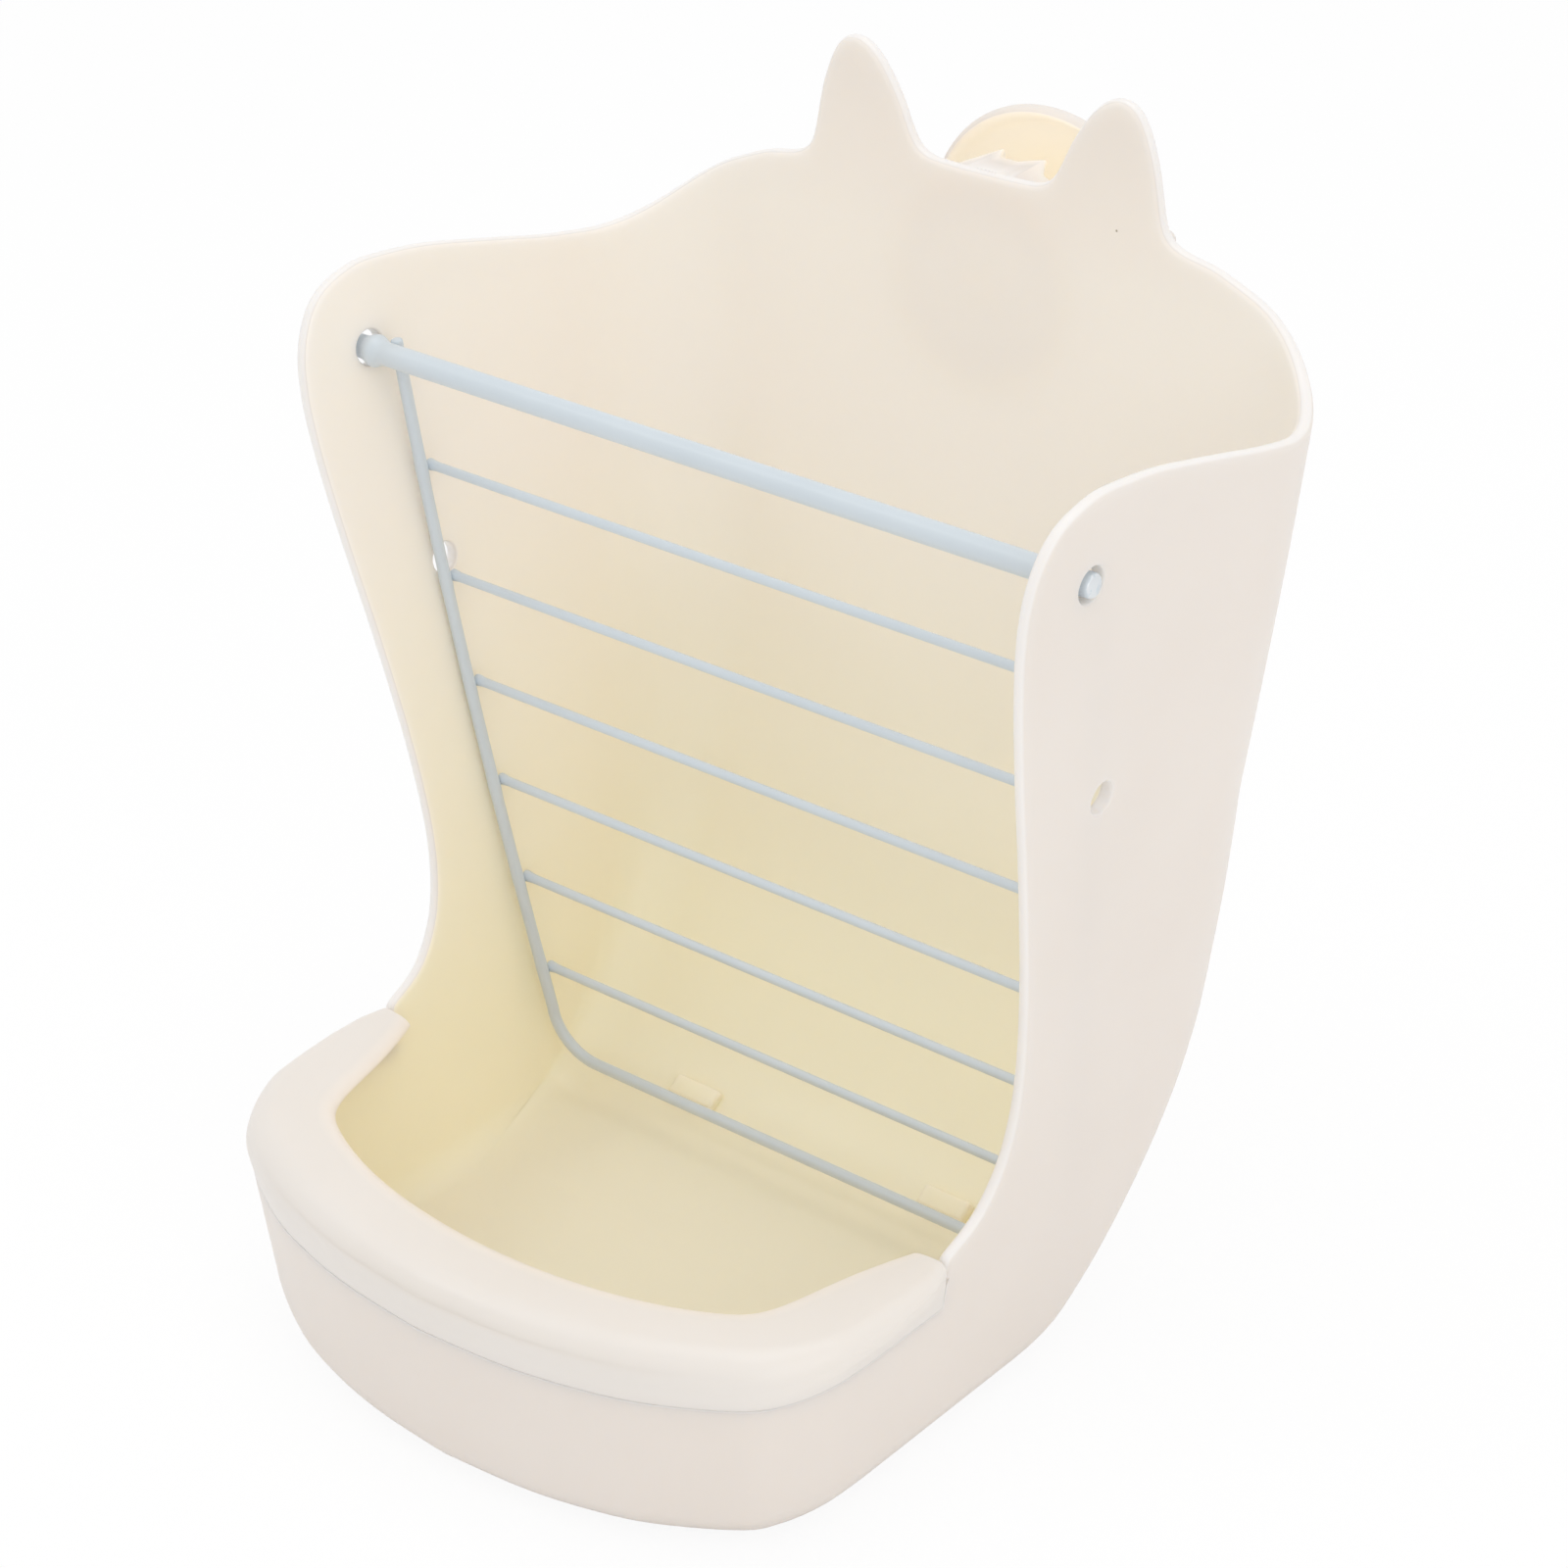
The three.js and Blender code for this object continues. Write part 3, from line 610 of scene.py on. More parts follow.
# Stud in the middle of the ring, with a coarse right-hand thread moulded on it.
STUD_MINOR, STUD_MAJOR, STUD_LENGTH, STUD_AROUND = 6.7, 8.0, 33.0, 72
STUD_ROOT, STUD_STEP, STUD_EASE = 1.5, 0.25, 0.9
STUD_END = ((0.15, 0.5), (0.4, 0.2), (0.8, 0))
PITCH, THREAD_LENGTH, THREAD_FADE = 5.0, 27.5, 1.2
RIDGE_SHARES = ((0, 1), (0.11, 1), (0.15, 0.92), (0.27, 0.08), (0.33, 0))
stud_end = clamp_wall + STUD_LENGTH
rings = []
for depth in [-STUD_ROOT, *np.arange(0, STUD_LENGTH - STUD_EASE, STUD_STEP)]:
    y = clamp_wall + depth
    fade = np.clip(min(y - (stud_end - THREAD_LENGTH), stud_end - THREAD_FADE - y) / THREAD_FADE, 0, 1)
    ring = []
    for i, turn in enumerate(full_turn(STUD_AROUND)):
        phase = ((y - (stud_end - PITCH / 2)) / PITCH - i / STUD_AROUND + 0.5) % 1 - 0.5
        ridge = read_off(RIDGE_SHARES, abs(phase)) * fade
        ring.append(round_clamp(STUD_MINOR + ridge * (STUD_MAJOR - STUD_MINOR), y, turn))
    rings.append(ring)
for inset, before in STUD_END:
    radius, y = STUD_MINOR - inset, stud_end - before
    rings.append([round_clamp(radius, y, turn) for turn in full_turn(STUD_AROUND)])
stud = finished("stud", skinned(rings))

shell = combined(finished("moulded_box", wall), [*pads, toothed_ring, stud])


def tree_of(points):
    tree = KDTree(len(points))
    for i, p in enumerate(points):
        tree.insert(p, i)
    tree.balance()
    return tree


def glowing(piece, amounts):
    """Stores how much painted light goes into the colour at each vertex: 0 in the open, 1 deep inside, and -1
    at a rolled edge.
    """
    glow = piece.data.attributes.new("glow", "FLOAT", "POINT")
    glow.data.foreach_set("value", np.array(amounts, np.float32))


def places_of(piece):
    """Vertices of a finished piece, in millimetres from the rod's middle above the base."""
    flat_list = np.empty(3 * len(piece.data.vertices), np.float32)
    piece.data.vertices.foreach_get("co", flat_list)
    return (flat_list.reshape(-1, 3) - HOME) / MM


# Painted light: inside the box the colour is painted deeper and warmer, as light that goes from wall to wall
# and through them would make it, most low down. A painted glow lies round the clamp too. A rolled free edge,
# thin and lit all round, gets a painted pale highlight, and so does the bevel at the guard's seam, from
# STEP_START past the seam.
OPEN_GLOW, CLAMP_GLOW, STEP_GLOW, STEP_START = 0.5, 0.6, -0.8, -0.3
GLOW_BY_HEIGHT = ((35, 1), (150, OPEN_GLOW), (195, OPEN_GLOW), (225, 0.2))
GLOW_ROUND_EDGE = ((0, 0), (0.1, -0.6), (0.3, -1), (0.65, -1), (0.85, 0))
CLAMP_NEAR, CLAMP_FAR = 1.0, 14.0
LEVEL_CLOSE, STEP_CLOSE, SKIN_CLOSE = 0.02, 0.05, 0.15
outer_tree, inner_tree = tree_of(outer), tree_of(inner)
stepped = past_seam > STEP_START
in_step = np.concatenate([stepped, stepped[~on_middle]])


def gathered(place):
    """How much painted light goes into the colour at a place on the box."""
    _, nearest, to_outer = outer_tree.find(place)
    to_inner = inner_tree.find(place)[2]
    height = place[2]
    deep = read_off(GLOW_BY_HEIGHT, height)
    if CLAMP_NEAR < place[1] - clamp_wall < CLAMP_FAR and to_inner > WALL + CLAMP_NEAR:
        return CLAMP_GLOW
    if height < LEVEL_CLOSE:
        return 0
    if abs(height - WALL) < LEVEL_CLOSE or to_outer > max(WALL - SKIN_CLOSE, to_inner):
        return deep
    if in_step[nearest] and to_outer < STEP_CLOSE:
        return STEP_GLOW
    if to_inner > WALL - SKIN_CLOSE:
        return 0
    return read_off((*GLOW_ROUND_EDGE, (1, deep)), to_outer / (to_outer + to_inner))


glowing(shell, [gathered(place) for place in places_of(shell)])


def add_node(tree, kind, settings=None, links=None):
    """New node. settings and links name its inputs, or give their numbers. Other settings are its own."""
    node = tree.nodes.new(kind)
    for name, value in (settings or {}).items():
        if isinstance(name, int) or name in node.inputs.keys():
            node.inputs[name].default_value = value
        else:
            setattr(node, name, value)
    for name, source in (links or {}).items():
        tree.links.new(source, node.inputs[name])
    return node


def linear(hex_colour):
    """Linear colour of an sRGB hex value."""
    parts = [int(hex_colour[i:i + 2], 16) / 255 for i in (1, 3, 5)]
    return (*[c / 12.92 if c <= 0.04045 else ((c + 0.055) / 1.055) ** 2.4 for c in parts], 1)


def new_material(name, roughness, ior=None):
    """Material with its principled shader, its tree and the object's own coordinates in metres."""
    material = bpy.data.materials.new(name)
    material.use_nodes = True
    tree = material.node_tree
    shader = tree.nodes["Principled BSDF"]
    shader.inputs["Roughness"].default_value = roughness
    if ior:
        shader.inputs["IOR"].default_value = ior
    place = add_node(tree, "ShaderNodeTexCoord").outputs["Object"]
    return material, tree, shader, place


# Ivory polypropylene, moulded against a fine satin tool: a soft sheen, light that sinks in, a warm glow
# painted into the colour where light gathers and a pale highlight painted on rolled edges, faint clouds of
# colour, a few dark specks and a very fine grain.
# Widths and depths are in millimetres. The grain is drawn coarser than the tool's, so that it shows.
CLOUD_WIDTH, SHEEN_WIDTH, SINK_WIDTH, GRAIN_WIDTH = 45, 12, 30, 0.9
SINK_DEPTH, GRAIN_DEPTH = 0.6, 0.06
SPECK_SPACING, SPECK_RADIUS, SPECK_SHARE = 11, 0.242, 0.07
# The first two colours are the warm glow painted inside, a little and a lot; the third is the pale highlight
# painted on rolled edges and at the guard's seam; the fourth is the specks' own colour.
OPEN_GLOW_TONE, DEEP_GLOW_TONE, ROLLED_EDGE_HIGHLIGHT, SPECK_TONE = "#FAF0E6", "#FFF3D9", "#F1ECE8", "#A89B86"
GLOSSIEST, DULLEST = 0.3, 0.43


def ivory_polypropylene(name, sinks_in, depth, light, dark):
    """The plastic: how much light sinks in, how deep in metres, and its lightest and darkest cloud."""
    material, tree, shader, place = new_material(name, 0.36, 1.49)
    clouds = add_node(tree, "ShaderNodeTexNoise", {"Scale": 1 / (CLOUD_WIDTH * MM), "Detail": 2.0},
                      {"Vector": place})
    tone = add_node(tree, "ShaderNodeMix", {"data_type": "RGBA", 6: linear(light), 7: linear(dark)},
                    {"Factor": clouds.outputs["Fac"]})
    glow = add_node(tree, "ShaderNodeAttribute", {"attribute_name": "glow"})
    # Painted light: the glow attribute blends the clouds towards the painted warm glow inside, and towards
    # the painted pale highlight on rolled edges.
    painted_light_tones = ((0.0, OPEN_GLOW, OPEN_GLOW_TONE), (OPEN_GLOW, 1.0, DEEP_GLOW_TONE), (0.0, -1.0, ROLLED_EDGE_HIGHLIGHT))
    for start, end, colour in painted_light_tones:
        share = add_node(tree, "ShaderNodeMapRange", {"From Min": start, "From Max": end},
                         {"Value": glow.outputs["Fac"]})
        tone = add_node(tree, "ShaderNodeMix", {"data_type": "RGBA", 7: linear(colour)},
                        {"Factor": share.outputs["Result"], 6: tone.outputs[2]})
    grit = add_node(tree, "ShaderNodeTexVoronoi", {"Scale": 1 / (SPECK_SPACING * MM), "Randomness": 1.0},
                    {"Vector": place})
    chosen = add_node(tree, "ShaderNodeSeparateColor", {}, {"Color": grit.outputs["Color"]})
    few = add_node(tree, "ShaderNodeMath", {"operation": "GREATER_THAN", 1: 1 - SPECK_SHARE},
                   {0: chosen.outputs[0]})
    dot = add_node(tree, "ShaderNodeMath", {"operation": "LESS_THAN", 1: SPECK_RADIUS / SPECK_SPACING},
                   {0: grit.outputs["Distance"]})
    speck = add_node(tree, "ShaderNodeMath", {"operation": "MULTIPLY"},
                     {0: few.outputs[0], 1: dot.outputs[0]})
    spotted = add_node(tree, "ShaderNodeMix", {"data_type": "RGBA", 7: linear(SPECK_TONE)},
                       {"Factor": speck.outputs[0], 6: tone.outputs[2]})
    tree.links.new(spotted.outputs[2], shader.inputs["Base Color"])
    gloss = add_node(tree, "ShaderNodeTexNoise", {"Scale": 1 / (SHEEN_WIDTH * MM), "Detail": 4.0},
                     {"Vector": place})
    sheen = add_node(tree, "ShaderNodeMapRange", {"To Min": GLOSSIEST, "To Max": DULLEST},
                     {"Value": gloss.outputs["Fac"]})
    tree.links.new(sheen.outputs["Result"], shader.inputs["Roughness"])
    sink = add_node(tree, "ShaderNodeTexNoise", {"Scale": 1 / (SINK_WIDTH * MM), "Detail": 1.0},
                    {"Vector": place})
    sunk = add_node(tree, "ShaderNodeBump", {"Strength": 0.25, "Distance": SINK_DEPTH * MM},
                    {"Height": sink.outputs["Fac"]})
    grain = add_node(tree, "ShaderNodeTexNoise", {"Scale": 1 / (GRAIN_WIDTH * MM), "Detail": 2.0},
                     {"Vector": place})
    bump = add_node(tree, "ShaderNodeBump", {"Strength": 0.12, "Distance": GRAIN_DEPTH * MM},
                    {"Height": grain.outputs["Fac"], "Normal": sunk.outputs["Normal"]})
    tree.links.new(bump.outputs["Normal"], shader.inputs["Normal"])
    shader.inputs["Subsurface Weight"].default_value = sinks_in
    shader.inputs["Subsurface Radius"].default_value = (1.0, 0.92, 0.8)
    shader.inputs["Subsurface Scale"].default_value = depth
    return material


def dressed(piece, material, body, slot, *nodes):
    """Gives a piece its material, its body and the solids that it stands for. The slot is not used."""
    piece.data.materials.clear()
    piece.data.materials.append(material)
    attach(piece, body)
    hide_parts(*nodes)
    return piece


ivory = ivory_polypropylene("ivory_polypropylene", 0.55, 0.006, "#E9E2DC", "#E4DCD5")
dressed(shell, ivory, "box", "ivory_plastic", "feeder_shell")

# Rim guard
# A second moulding of the same plastic, a channel that snaps over the cut rim of the bowl.
# Its top rolls over into a full lip. Its foot is flush with the side walls, and just inside the front.
GUARD_TOP, GUARD_LEG, GUARD_SKIN, GUARD_STEP = 45.6, 10.6, 1.9, 1.6
GUARD_PROUD, FOOT_PROUD, FRONT_INSET, INSET_WAYS = 0.1, 0.025, 0.1, (0.5, 0.8)
GUARD_FRONT, GUARD_ENDS, GUARD_REACH, RIM_GAP, FIT_GAP = 18.3, 8.0, -24.3, 2.2, 0.3
GUARD_SWELL, ROLL_IN, ROLL_DOWN = 2.4, 8.0, 7.5
FOOT_EASE, FOOT_FINE_EASE = 0.3, 0.06

# From the guard's ends, 0, to the middle of its front, 1: how far it swells, rolls and widens.
SWELL_SHARES = ((0, 0.03), (0.08, 0.75), (0.2, 1), (0.45, 0.9), (0.65, 0.3), (0.85, 0), (1, 0))
ROLL_SHARES = ((0, 0.27), (0.1, 0.36), (0.25, 0.44), (0.45, 0.55), (0.7, 0.85), (1, 1))
GUARD_WIDTH_SHARE = 0.4

# Its outer face on the way from the foot to the roll: shares outward and up. Its inner lip, in skins.
FACE_SHARES = ((0.25, 0.3), (0.75, 0.65))
LIP_SHARES = ((2.6, 0.03), (1.5, 0.13), (0.7, 0.33), (0.2, 0.62), (0, 0.92), (0.12, 1.08), (0.4, 1.12))


def guard_section(width, way):
    """Outline of the guard: outward from the bowl, and height. way goes from its ends to the front."""
    low = GUARD_TOP - GUARD_LEG
    under = GUARD_TOP - GUARD_SKIN
    leg_in = GUARD_PROUD - GUARD_SKIN
    leg_top = under - RIM_GAP + FIT_GAP
    leg_top_in = leg_in + SIDE_DRAFT * (leg_top - low)
    lean = SIDE_DRAFT * (1 - way) + FRONT_DRAFT * way
    roll_share = read_off(ROLL_SHARES, way)
    roll_in, roll_low = ROLL_IN * roll_share, GUARD_TOP - ROLL_DOWN * roll_share
    proud = FOOT_PROUD - FRONT_INSET * np.interp(way, INSET_WAYS, [0, 1])
    foot = proud + lean * (low - BOWL_HEIGHT)
    reach = proud + lean * (roll_low - BOWL_HEIGHT) + GUARD_SWELL * read_off(SWELL_SHARES, way)
    face = [(foot, low + FOOT_EASE)]
    for out, up in FACE_SHARES:
        face.append((foot * (1 - out) + reach * out, low * (1 - up) + roll_low * up))
    turns = np.radians(np.arange(0, 91, 10))
    roll_up = roll_low + (GUARD_TOP - roll_low) * np.sin(turns)
    roll = np.column_stack([reach - roll_in * (1 - np.cos(turns)), roll_up])
    lip = np.array(LIP_SHARES) * (GUARD_SKIN, -GUARD_SKIN) + (GUARD_PROUD - width, GUARD_TOP)
    sole = [(leg_in, low + FOOT_EASE), (leg_in + FOOT_EASE, low), (foot - FOOT_EASE, low),
            (foot - FOOT_FINE_EASE, low + FOOT_FINE_EASE)]
    mouth = [(leg_top_in - RIM_GAP, under), (leg_top_in, leg_top)]
    return np.vstack([sole, flowing(np.vstack([face, roll]), 3), flowing(lip, 4), mouth])


half = half_width(BOWL_HEIGHT)
half_line = np.vstack([bowl_line * (half, -1), [(half, GUARD_REACH)]])
half_line = even(half_line, GUARD_STEP)
run_line = eased(np.vstack([half_line[:0:-1] * (-1, 1), half_line]), 4)
heading = unit(np.gradient(run_line, axis=0))
side_way = np.column_stack([heading[:, 1], -heading[:, 0]])
ways = np.clip((GUARD_REACH - run_line[:, 1]) / (FRONT_REACH + GUARD_REACH), 0, 1)
widths = GUARD_ENDS + (GUARD_FRONT - GUARD_ENDS) * ways ** GUARD_WIDTH_SHARE
lip_line = eased(run_line - side_way * widths[:, None], 80)
widths = np.linalg.norm(run_line - lip_line, axis=1)
side_way = (run_line - lip_line) / widths[:, None]
rings = []
for (x, y), (out_x, out_y), width, way in zip(run_line, side_way, widths, ways):
    rings.append([(x + out_x * p, y + out_y * p, z) for p, z in guard_section(width, way)])
guard = finished("bowl_guard", skinned(rings), 40)

# Painted glow: the thin lip's colour is warmed as if light gathered in it.
LIP_GLOW, LIP_REACH = 0.55, 4.0
from_lip = guard_section(GUARD_FRONT, 1)[:, 0] + GUARD_FRONT
glowing(guard, np.tile(np.interp(from_lip, [0, LIP_REACH], [LIP_GLOW, 0]), len(rings)))
# Painted light: the guard's copy of the plastic is lighter than the box's, to make up for the darker, greyer
# shade that the thin guard renders with.
lightened_guard_ivory = ivory_polypropylene("ivory_polypropylene_thin_lightened", 0.2, 0.004, "#F0EAE4", "#ECE5DD")
dressed(guard, lightened_guard_ivory, "box", "ivory_plastic", "bowl_rim_guard")

# Grille
# Steel wires, resistance-welded and dipped in a pale blue-grey coating that rounds over each weld.
# A thick rod carries a U-shaped frame, and six thin wires cross behind the frame.
GRILLE_TILT = math.radians(5)
ROD_RADIUS, FRAME_RADIUS, CROSS_RADIUS = 2.4, 1.25, 1.0
FRAME_DROP, FRAME_BEND, FRAME_RISE, WELD_GAP = 166.0, 11.0, 1.5, 0.12
CROSS_SHARES = (0.1645, 0.3163, 0.4633, 0.6048, 0.7464, 0.8807)
DOWN = np.array([0, math.sin(GRILLE_TILT), -math.cos(GRILLE_TILT)])
BEHIND = np.array([0, math.cos(GRILLE_TILT), math.sin(GRILLE_TILT)])


def in_grille(x, down, behind=0.0):
    """Place in the grille: across, down from the rod and behind the frame's middle."""
    flat = ROD_RADIUS + FRAME_RADIUS + WELD_GAP + behind
    return np.array([x, 0, ROD_HEIGHT]) + DOWN * down + BEHIND * flat


def inside_at(drop):
    return half_width(ROD_HEIGHT - drop) - WALL


# Each leg is a slight curve through three places, at these gaps from the side wall.
TOP_GAP, MID_GAP, LOW_GAP = 3.8, 1.9, 4.7
MID_DROP = FRAME_DROP * 0.47
leg_top = inside_at(0) - TOP_GAP
leg_low = inside_at(FRAME_DROP) - LOW_GAP
leg_ctrl = 2 * (inside_at(MID_DROP) - MID_GAP) - (leg_top + leg_low) / 2


def leg_x(down):
    """Place across of a leg, at a distance down from the rod."""
    t = np.linspace(0, 1, 60)
    x = (1 - t) ** 2 * leg_top + 2 * t * (1 - t) * leg_ctrl + t**2 * leg_low
    y = 2 * t * (1 - t) * MID_DROP + t**2 * FRAME_DROP
    return float(np.interp(down, y, x))


# A wire's rounded end: two steps in from it, in radii, and the thickness at the end and at each step.
END_STEPS, END_SIZES = (0.15, 0.45), (0.62, 0.9, 1.0)


def ends_fine(line, radius):
    """Line with two extra points close to each end, for a rounded end."""
    p = np.array(line, float)
    ends = []
    for end, beside in ((p[0], p[1]), (p[-1], p[-2])):
        inward = (beside - end) / np.linalg.norm(beside - end)
        ends.append([end] + [end + inward * radius * step for step in END_STEPS])
    return np.vstack([ends[0], p[1:-1], ends[1][::-1]])


def wire(path, radius, around, swell):
    """Round wire along a path. swell gives places, how far the coating is thicker there and by how much."""
    path = ends_fine(path, radius)
    along = unit(np.gradient(path, axis=0))
    rings = []
    for i, (p, t) in enumerate(zip(path, along)):
        side = np.cross(t, BEHIND)
        side /= np.linalg.norm(side)
        up = np.cross(side, t)
        size = radius
        for centre, reach, gain in swell:
            size += gain * math.exp(-((np.linalg.norm(p - centre) / reach) ** 2))
        size *= END_SIZES[min(i, len(path) - 1 - i, 2)]
        rings.append([p + (side * math.cos(a) + up * math.sin(a)) * size for a in full_turn(around)])
    return skinned(rings)


# Swellings of the coating at the welds: how far they reach along the wire, and how thick they are.
FRAME_WELD, CROSS_WELD, WELD_DEPTH = (1.5, 0.12), (1.3, 0.28), 0.4
WIRE_SMOOTH = 50
straight = FRAME_DROP - FRAME_BEND
corner = leg_x(straight)
half_frame = [(x, FRAME_DROP) for x in (0, 20, 40)]
for turn in np.radians(np.linspace(0, 90, 13)):
    x, down = corner - FRAME_BEND + FRAME_BEND * math.sin(turn), straight + FRAME_BEND * math.cos(turn)
    half_frame.append((x, down))
for down in np.linspace(straight, -FRAME_RISE, 50)[1:]:
    half_frame.append((leg_x(down), down))
half_frame = np.array(half_frame)
frame_line = np.vstack([half_frame[:0:-1] * (-1, 1), half_frame])
frame_path = [in_grille(x, down) for x, down in frame_line]
crossings = [(leg_x(FRAME_DROP * s) * sign, FRAME_DROP * s) for s in CROSS_SHARES for sign in (-1, 1)]
welds = [(in_grille(x, down), *FRAME_WELD) for x, down in crossings]
frame_wire = finished("frame_wire", wire(frame_path, FRAME_RADIUS, 24, welds), WIRE_SMOOTH)

# Each cross wire has close stations near its welds and wide ones between them.
weld_stations, between = np.arange(0, 5, 0.35), 5.5
cross_wires = []
for number, share in enumerate(CROSS_SHARES, 1):
    down = FRAME_DROP * share
    reach = leg_x(down) + CROSS_RADIUS / 2
    behind = FRAME_RADIUS + CROSS_RADIUS + WELD_GAP
    middle = np.linspace(-reach + between, reach - between, 30)
    stations = np.concatenate([-reach + weld_stations, middle, (reach - weld_stations)[::-1]])
    path = [in_grille(x, down, behind) for x in stations]
    welds = [(in_grille(sign * leg_x(down), down, behind - WELD_DEPTH), *CROSS_WELD) for sign in (-1, 1)]
    cross_wires.append(finished(f"thin_wire_{number}", wire(path, CROSS_RADIUS, 20, welds), WIRE_SMOOTH))

# The rod's ends stand just proud of the walls, with rounded corners: steps in, and what they take off
# the radius. The coating is thicker where the rod meets each wall.
ROD_PROUD, ROD_AROUND = 0.7, 40
ROD_END = ((0, 0.55), (0.12, 0.3), (0.35, 0.08), (0.7, 0))
SWELL_PLACE, SWELL_REACH, SWELL = 85.4, 1.6, 0.95
half_rod = HALF_WIDTH + ROD_PROUD
rod_stations = [(inward - half_rod, ROD_RADIUS - less) for inward, less in ROD_END]
near_wall, between_walls = np.arange(-half_rod + 1.2, -76, 0.6), np.linspace(-75, 0, 20)
for x in np.concatenate([near_wall, between_walls]):
    rod_stations.append((x, ROD_RADIUS + SWELL * math.exp(-((-x - SWELL_PLACE) / SWELL_REACH) ** 2)))
rod_stations += [(-x, r) for x, r in rod_stations[-2::-1]]
rings = []
for x, r in rod_stations:
    rings.append([(x, r * math.cos(a), ROD_HEIGHT + r * math.sin(a)) for a in full_turn(ROD_AROUND)])
rod = finished("swing_rod", skinned(rings), WIRE_SMOOTH)

# Dip coating on steel wire: smooth, slightly glossy pale blue-grey, with a faint orange peel.
# At the rod's ends, which rub in the holes, it is worn through to bright zinc-plated steel.
# Widths and depths are in millimetres.
FLOW_WIDTH, PEEL_WIDTH, PEEL_DEPTH = 20, 1.4, 0.08
WEAR_WIDTH, WEAR_SPREAD, WEAR_EDGE, WORN_LENGTH = 1.1, 1.6, 0.12, 0.25


def coated_steel(name, worn_from=None):
    """The coating. worn_from is the distance across, in metres, from which it is worn off."""
    material, tree, shader, place = new_material(name, 0.34, 1.5)
    flow = add_node(tree, "ShaderNodeTexNoise", {"Scale": 1 / (FLOW_WIDTH * MM), "Detail": 3.0},
                    {"Vector": place})
    tone = add_node(tree, "ShaderNodeMix", {"data_type": "RGBA", 6: linear("#D6DFE5"), 7: linear("#CDD7DE")},
                    {"Factor": flow.outputs["Fac"]})
    peel = add_node(tree, "ShaderNodeTexNoise", {"Scale": 1 / (PEEL_WIDTH * MM), "Detail": 2.0},
                    {"Vector": place})
    bump = add_node(tree, "ShaderNodeBump", {"Strength": 0.2, "Distance": PEEL_DEPTH * MM},
                    {"Height": peel.outputs["Fac"]})
    tree.links.new(bump.outputs["Normal"], shader.inputs["Normal"])
    colour = tone.outputs[2]
    if worn_from:
        axes = add_node(tree, "ShaderNodeSeparateXYZ", {}, {"Vector": place})
        away = add_node(tree, "ShaderNodeMath", {"operation": "ABSOLUTE"}, {0: axes.outputs["X"]})
        rub = add_node(tree, "ShaderNodeTexNoise", {"Scale": 1 / (WEAR_WIDTH * MM), "Detail": 4.0},
                       {"Vector": place})
        spread = WEAR_SPREAD * MM
        ragged = add_node(tree, "ShaderNodeMath", {"operation": "MULTIPLY_ADD", 1: spread, 2: -spread / 2},
                          {0: rub.outputs["Fac"]})
        at = add_node(tree, "ShaderNodeMath", {"operation": "ADD"},
                      {0: away.outputs[0], 1: ragged.outputs[0]})
        worn_to = worn_from + WEAR_EDGE * MM
        bare = add_node(tree, "ShaderNodeMapRange", {"From Min": worn_from, "From Max": worn_to},
                        {"Value": at.outputs[0]})
        mixed = add_node(tree, "ShaderNodeMix", {"data_type": "RGBA", 7: linear("#E2E6E9")},
                         {"Factor": bare.outputs["Result"], 6: colour})
        colour = mixed.outputs[2]
        tree.links.new(bare.outputs["Result"], shader.inputs["Metallic"])
    tree.links.new(colour, shader.inputs["Base Color"])
    return material


blue = coated_steel("dip_coated_steel")
rod_end = coated_steel("dip_coated_steel_worn_at_its_ends", (half_rod - WORN_LENGTH) * MM)
dressed(rod, rod_end, "grille", "pale_blue_coating", "grille_rod")
dressed(frame_wire, blue, "grille", "pale_blue_coating", "grille_frame")
for number, piece in enumerate(cross_wires, 1):
    dressed(piece, blue, "grille", "pale_blue_coating", f"cross_wire_{number}")

# Clamp nut
# The large nut behind the wall, moulded in the same plastic: a thin-rimmed dish that faces the cage,
# a thick hub with the thread, and a bar across its back for the fingers.
NUT_RADIUS, NUT_GAP, NUT_BACK, NUT_BORE, NUT_AROUND = 30.2, 19.4, 13.0, 8.4, 120
BORE_EASE, HUB_EASE, HUB_FILLET = 0.4, 0.5, 0.8
GRIP, GRIP_EASE, DRILL_REACH = (42, 8, 9), 2.2, 30.0

# The hub's foot and top, then the dish from the hub out to the rim and round its back.
NUT_SHARES = (
    (0.377, 0.25), (0.377, 0.6), (0.6, 0.56), (0.76, 0.44), (0.87, 0.26), (0.93, 0.06), (0.965, 0),
    (1, 0.06), (1, 0.17), (0.94, 0.32), (0.84, 0.52), (0.7, 0.72), (0.55, 0.88), (0.36, 1),
)
nut_place = clamp_wall + NUT_GAP
(hub_radius, hub_foot), (_, hub_top), *dish = sized(NUT_SHARES, NUT_RADIUS, NUT_BACK)
dish = flowing([(hub_radius + HUB_FILLET, hub_top), *dish], 5)
profile = np.vstack([
    [(NUT_BORE + BORE_EASE, hub_foot), (hub_radius - HUB_EASE, hub_foot), (hub_radius, hub_foot + HUB_EASE)],
    [(hub_radius, hub_top - HUB_FILLET)],
    dish,
    [(NUT_BORE + BORE_EASE, NUT_BACK), (NUT_BORE, NUT_BACK - BORE_EASE), (NUT_BORE, hub_foot + BORE_EASE)],
])
rings = [[round_clamp(r, nut_place + y, turn) for r, y in profile] for turn in full_turn(NUT_AROUND)]
nut = finished("dished_nut", skinned(rings, closed=True))
grip = finished("grip", rounded_block(GRIP, (0, nut_place + NUT_BACK, CLAMP_HEIGHT), GRIP_EASE, 5))
bore = []
for y in (nut_place - DRILL_REACH, nut_place + DRILL_REACH):
    bore.append([round_clamp(NUT_BORE, y, turn) for turn in full_turn(NUT_AROUND)])
grip = combined(grip, [finished("drill", skinned(bore))], "DIFFERENCE")
nut = combined(nut, [grip])
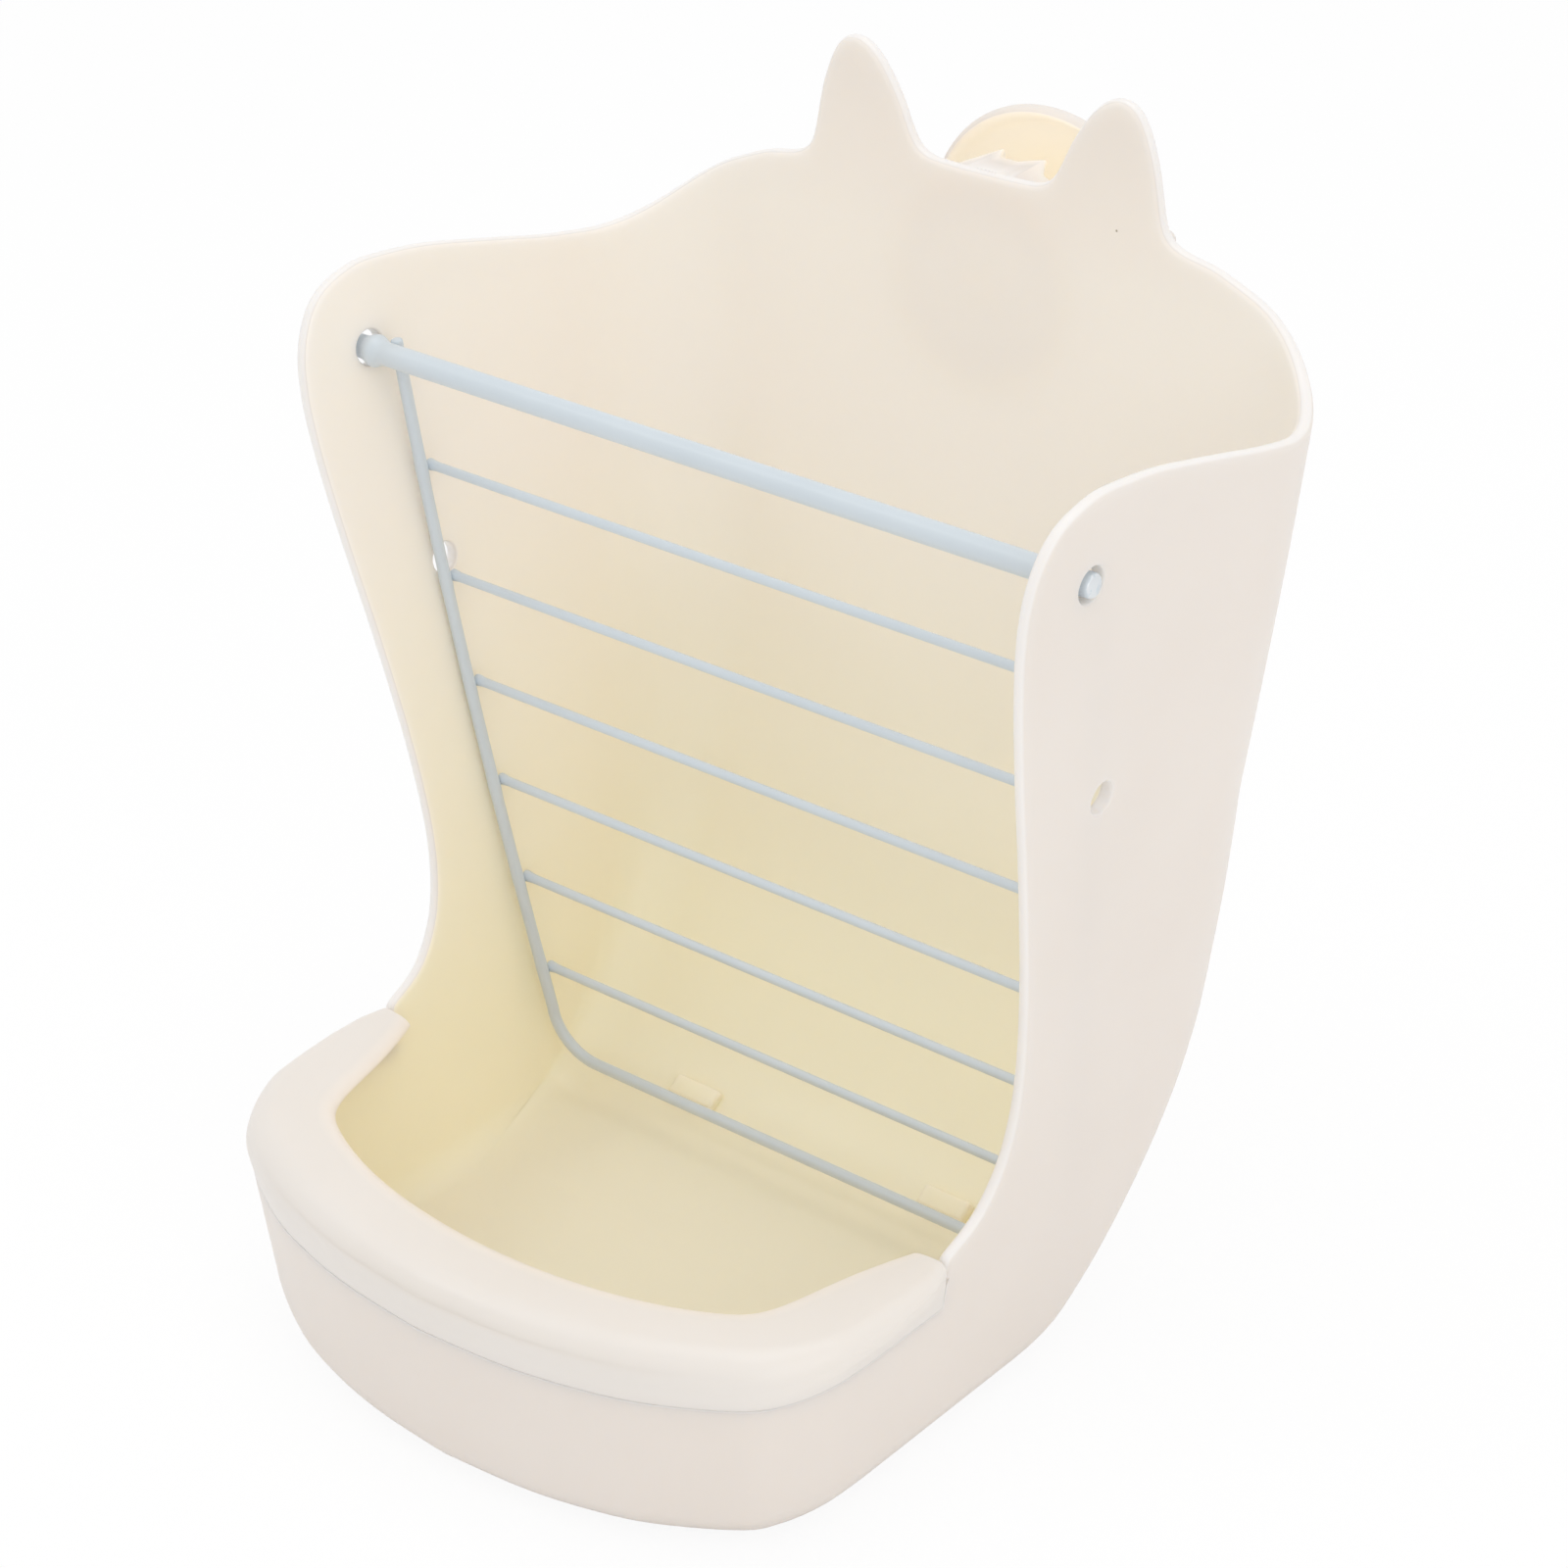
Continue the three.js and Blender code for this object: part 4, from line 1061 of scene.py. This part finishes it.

# Painted glow in the dish: on the cage's side of the line through the middle of its wall, the colour is
# warmed as if light gathered there.
MIDDLE_SHARES = ((0.37, 0.72), (0.6, 0.7), (0.76, 0.54), (0.87, 0.36), (0.95, 0.16), (0.97, 0))
DISH_GLOW, DISH_CLEAR = 0.7, 0.3
spot = places_of(nut) - (0, nut_place, CLAMP_HEIGHT)
from_axis = np.hypot(spot[:, 0], spot[:, 2])
in_dish = spot[:, 1] < read_off(sized(MIDDLE_SHARES, NUT_RADIUS, NUT_BACK), from_axis) - DISH_CLEAR
glowing(nut, in_dish * DISH_GLOW)
dressed(nut, ivory, "nut", "ivory_plastic", "clamp_nut")

# Studio
# Plain white surroundings with three wide soft lamps, and a white floor just under the base.
# To the camera the floor is nearly white by itself, and it keeps a soft shadow. A small warm lamp in
# the clamp's gap gives the light that comes through the plastic there. Places are in metres.
ROOM_LIGHT, FLOOR_GAP, FLOOR_SIZE, FLOOR_WHITE = 0.79, 0.0004, 6, 0.9

# The room is white to the camera, in gloss and through clear things, and a little darker as a light.
world = bpy.data.worlds.new("white_room")
bpy.context.scene.world = world
world.use_nodes = True
tree = world.node_tree
ground = tree.nodes["Background"]
ground.inputs["Color"].default_value = (1, 1, 1, 1)
light_path = add_node(tree, "ShaderNodeLightPath")
seen = light_path.outputs["Is Camera Ray"]
for ray in ("Is Glossy Ray", "Is Transmission Ray"):
    either = add_node(tree, "ShaderNodeMath", {"operation": "MAXIMUM"}, {0: seen, 1: light_path.outputs[ray]})
    seen = either.outputs[0]
power = add_node(tree, "ShaderNodeMapRange", {"To Min": ROOM_LIGHT, "To Max": 1.0}, {"Value": seen})
tree.links.new(power.outputs["Result"], ground.inputs["Strength"])

bpy.ops.mesh.primitive_plane_add(size=FLOOR_SIZE, location=(0, 0, shell_low.z - FLOOR_GAP))
floor = bpy.context.object
floor.name = "floor"
floor_material, tree, shader, place = new_material("white_floor", 0.9)
shader.inputs["Base Color"].default_value = linear("#FFFFFF")
light_path = add_node(tree, "ShaderNodeLightPath")
white = add_node(tree, "ShaderNodeEmission", {"Color": (1, 1, 1, 1), "Strength": 1.0})
part = add_node(tree, "ShaderNodeMath", {"operation": "MULTIPLY", 1: FLOOR_WHITE},
                {0: light_path.outputs["Is Camera Ray"]})
mixed = add_node(tree, "ShaderNodeMixShader", {},
                 {0: part.outputs[0], 1: shader.outputs[0], 2: white.outputs[0]})
tree.links.new(mixed.outputs[0], tree.nodes["Material Output"].inputs["Surface"])
floor.data.materials.append(floor_material)
floor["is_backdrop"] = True


def lamp(name, place, aim, size, watts, colour):
    """Round soft lamp that the camera doesn't see."""
    data = bpy.data.lights.new(name, "AREA")
    data.shape, data.size, data.energy, data.color = "DISK", size, watts, colour
    light = bpy.data.objects.new(name, data)
    light.location = place
    light.rotation_mode = "QUATERNION"
    light.rotation_quaternion = (Vector(aim) - Vector(place)).to_track_quat("-Z", "Y")
    light.visible_camera = False
    bpy.context.scene.collection.objects.link(light)


lamp("key", (-0.7, -0.5, 0.92), (0, -0.15, -0.12), 0.3, 0.7, (1.0, 0.99, 0.98))
lamp("fill", (1.1, -0.5, 0.5), (0, -0.1, -0.1), 0.9, 1.9, (1.0, 0.99, 0.98))
lamp("top", (0.0, 0.0, 1.2), (0, -0.1, -0.1), 0.9, 2.8, (1.0, 1.0, 1.0))
lamp("clamp_gap", (0, -0.001, 0.004), (0, 0.05, 0.004), 0.05, 0.0035, (1.0, 0.95, 0.86))

# Camera of the photograph: in front of the box and to its right, looking down on it, at a place in
# millimetres. CAMERA_LEFT, CAMERA_DOWN and CAMERA_ROLL are degrees.
PICTURE_SIZE, FOCAL_PIXELS, SENSOR_WIDTH = 1600, 4200, 36
CAMERA_PLACE = (469.762, -615.534, 310.711)
CAMERA_LEFT, CAMERA_DOWN, CAMERA_ROLL = 41.2153, 29.0, -2.0448
camera_data = bpy.data.cameras.new("camera")
camera = bpy.data.objects.new("camera", camera_data)
bpy.context.scene.collection.objects.link(camera)
bpy.context.scene.camera = camera
camera_data.sensor_width = SENSOR_WIDTH
camera_data.lens = SENSOR_WIDTH * FOCAL_PIXELS / PICTURE_SIZE
camera_data.clip_start, camera_data.clip_end = 0.05, 20
view = Matrix.Translation(Vector(CAMERA_PLACE) * MM)
for degrees, axis in ((CAMERA_LEFT, "Z"), (90 - CAMERA_DOWN, "X"), (CAMERA_ROLL, "Z")):
    view = view @ Matrix.Rotation(math.radians(degrees), 4, axis)
camera.matrix_world = view

bpy.context.scene.view_settings.view_transform = "Standard"
bpy.context.view_layer.update()
low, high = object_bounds()
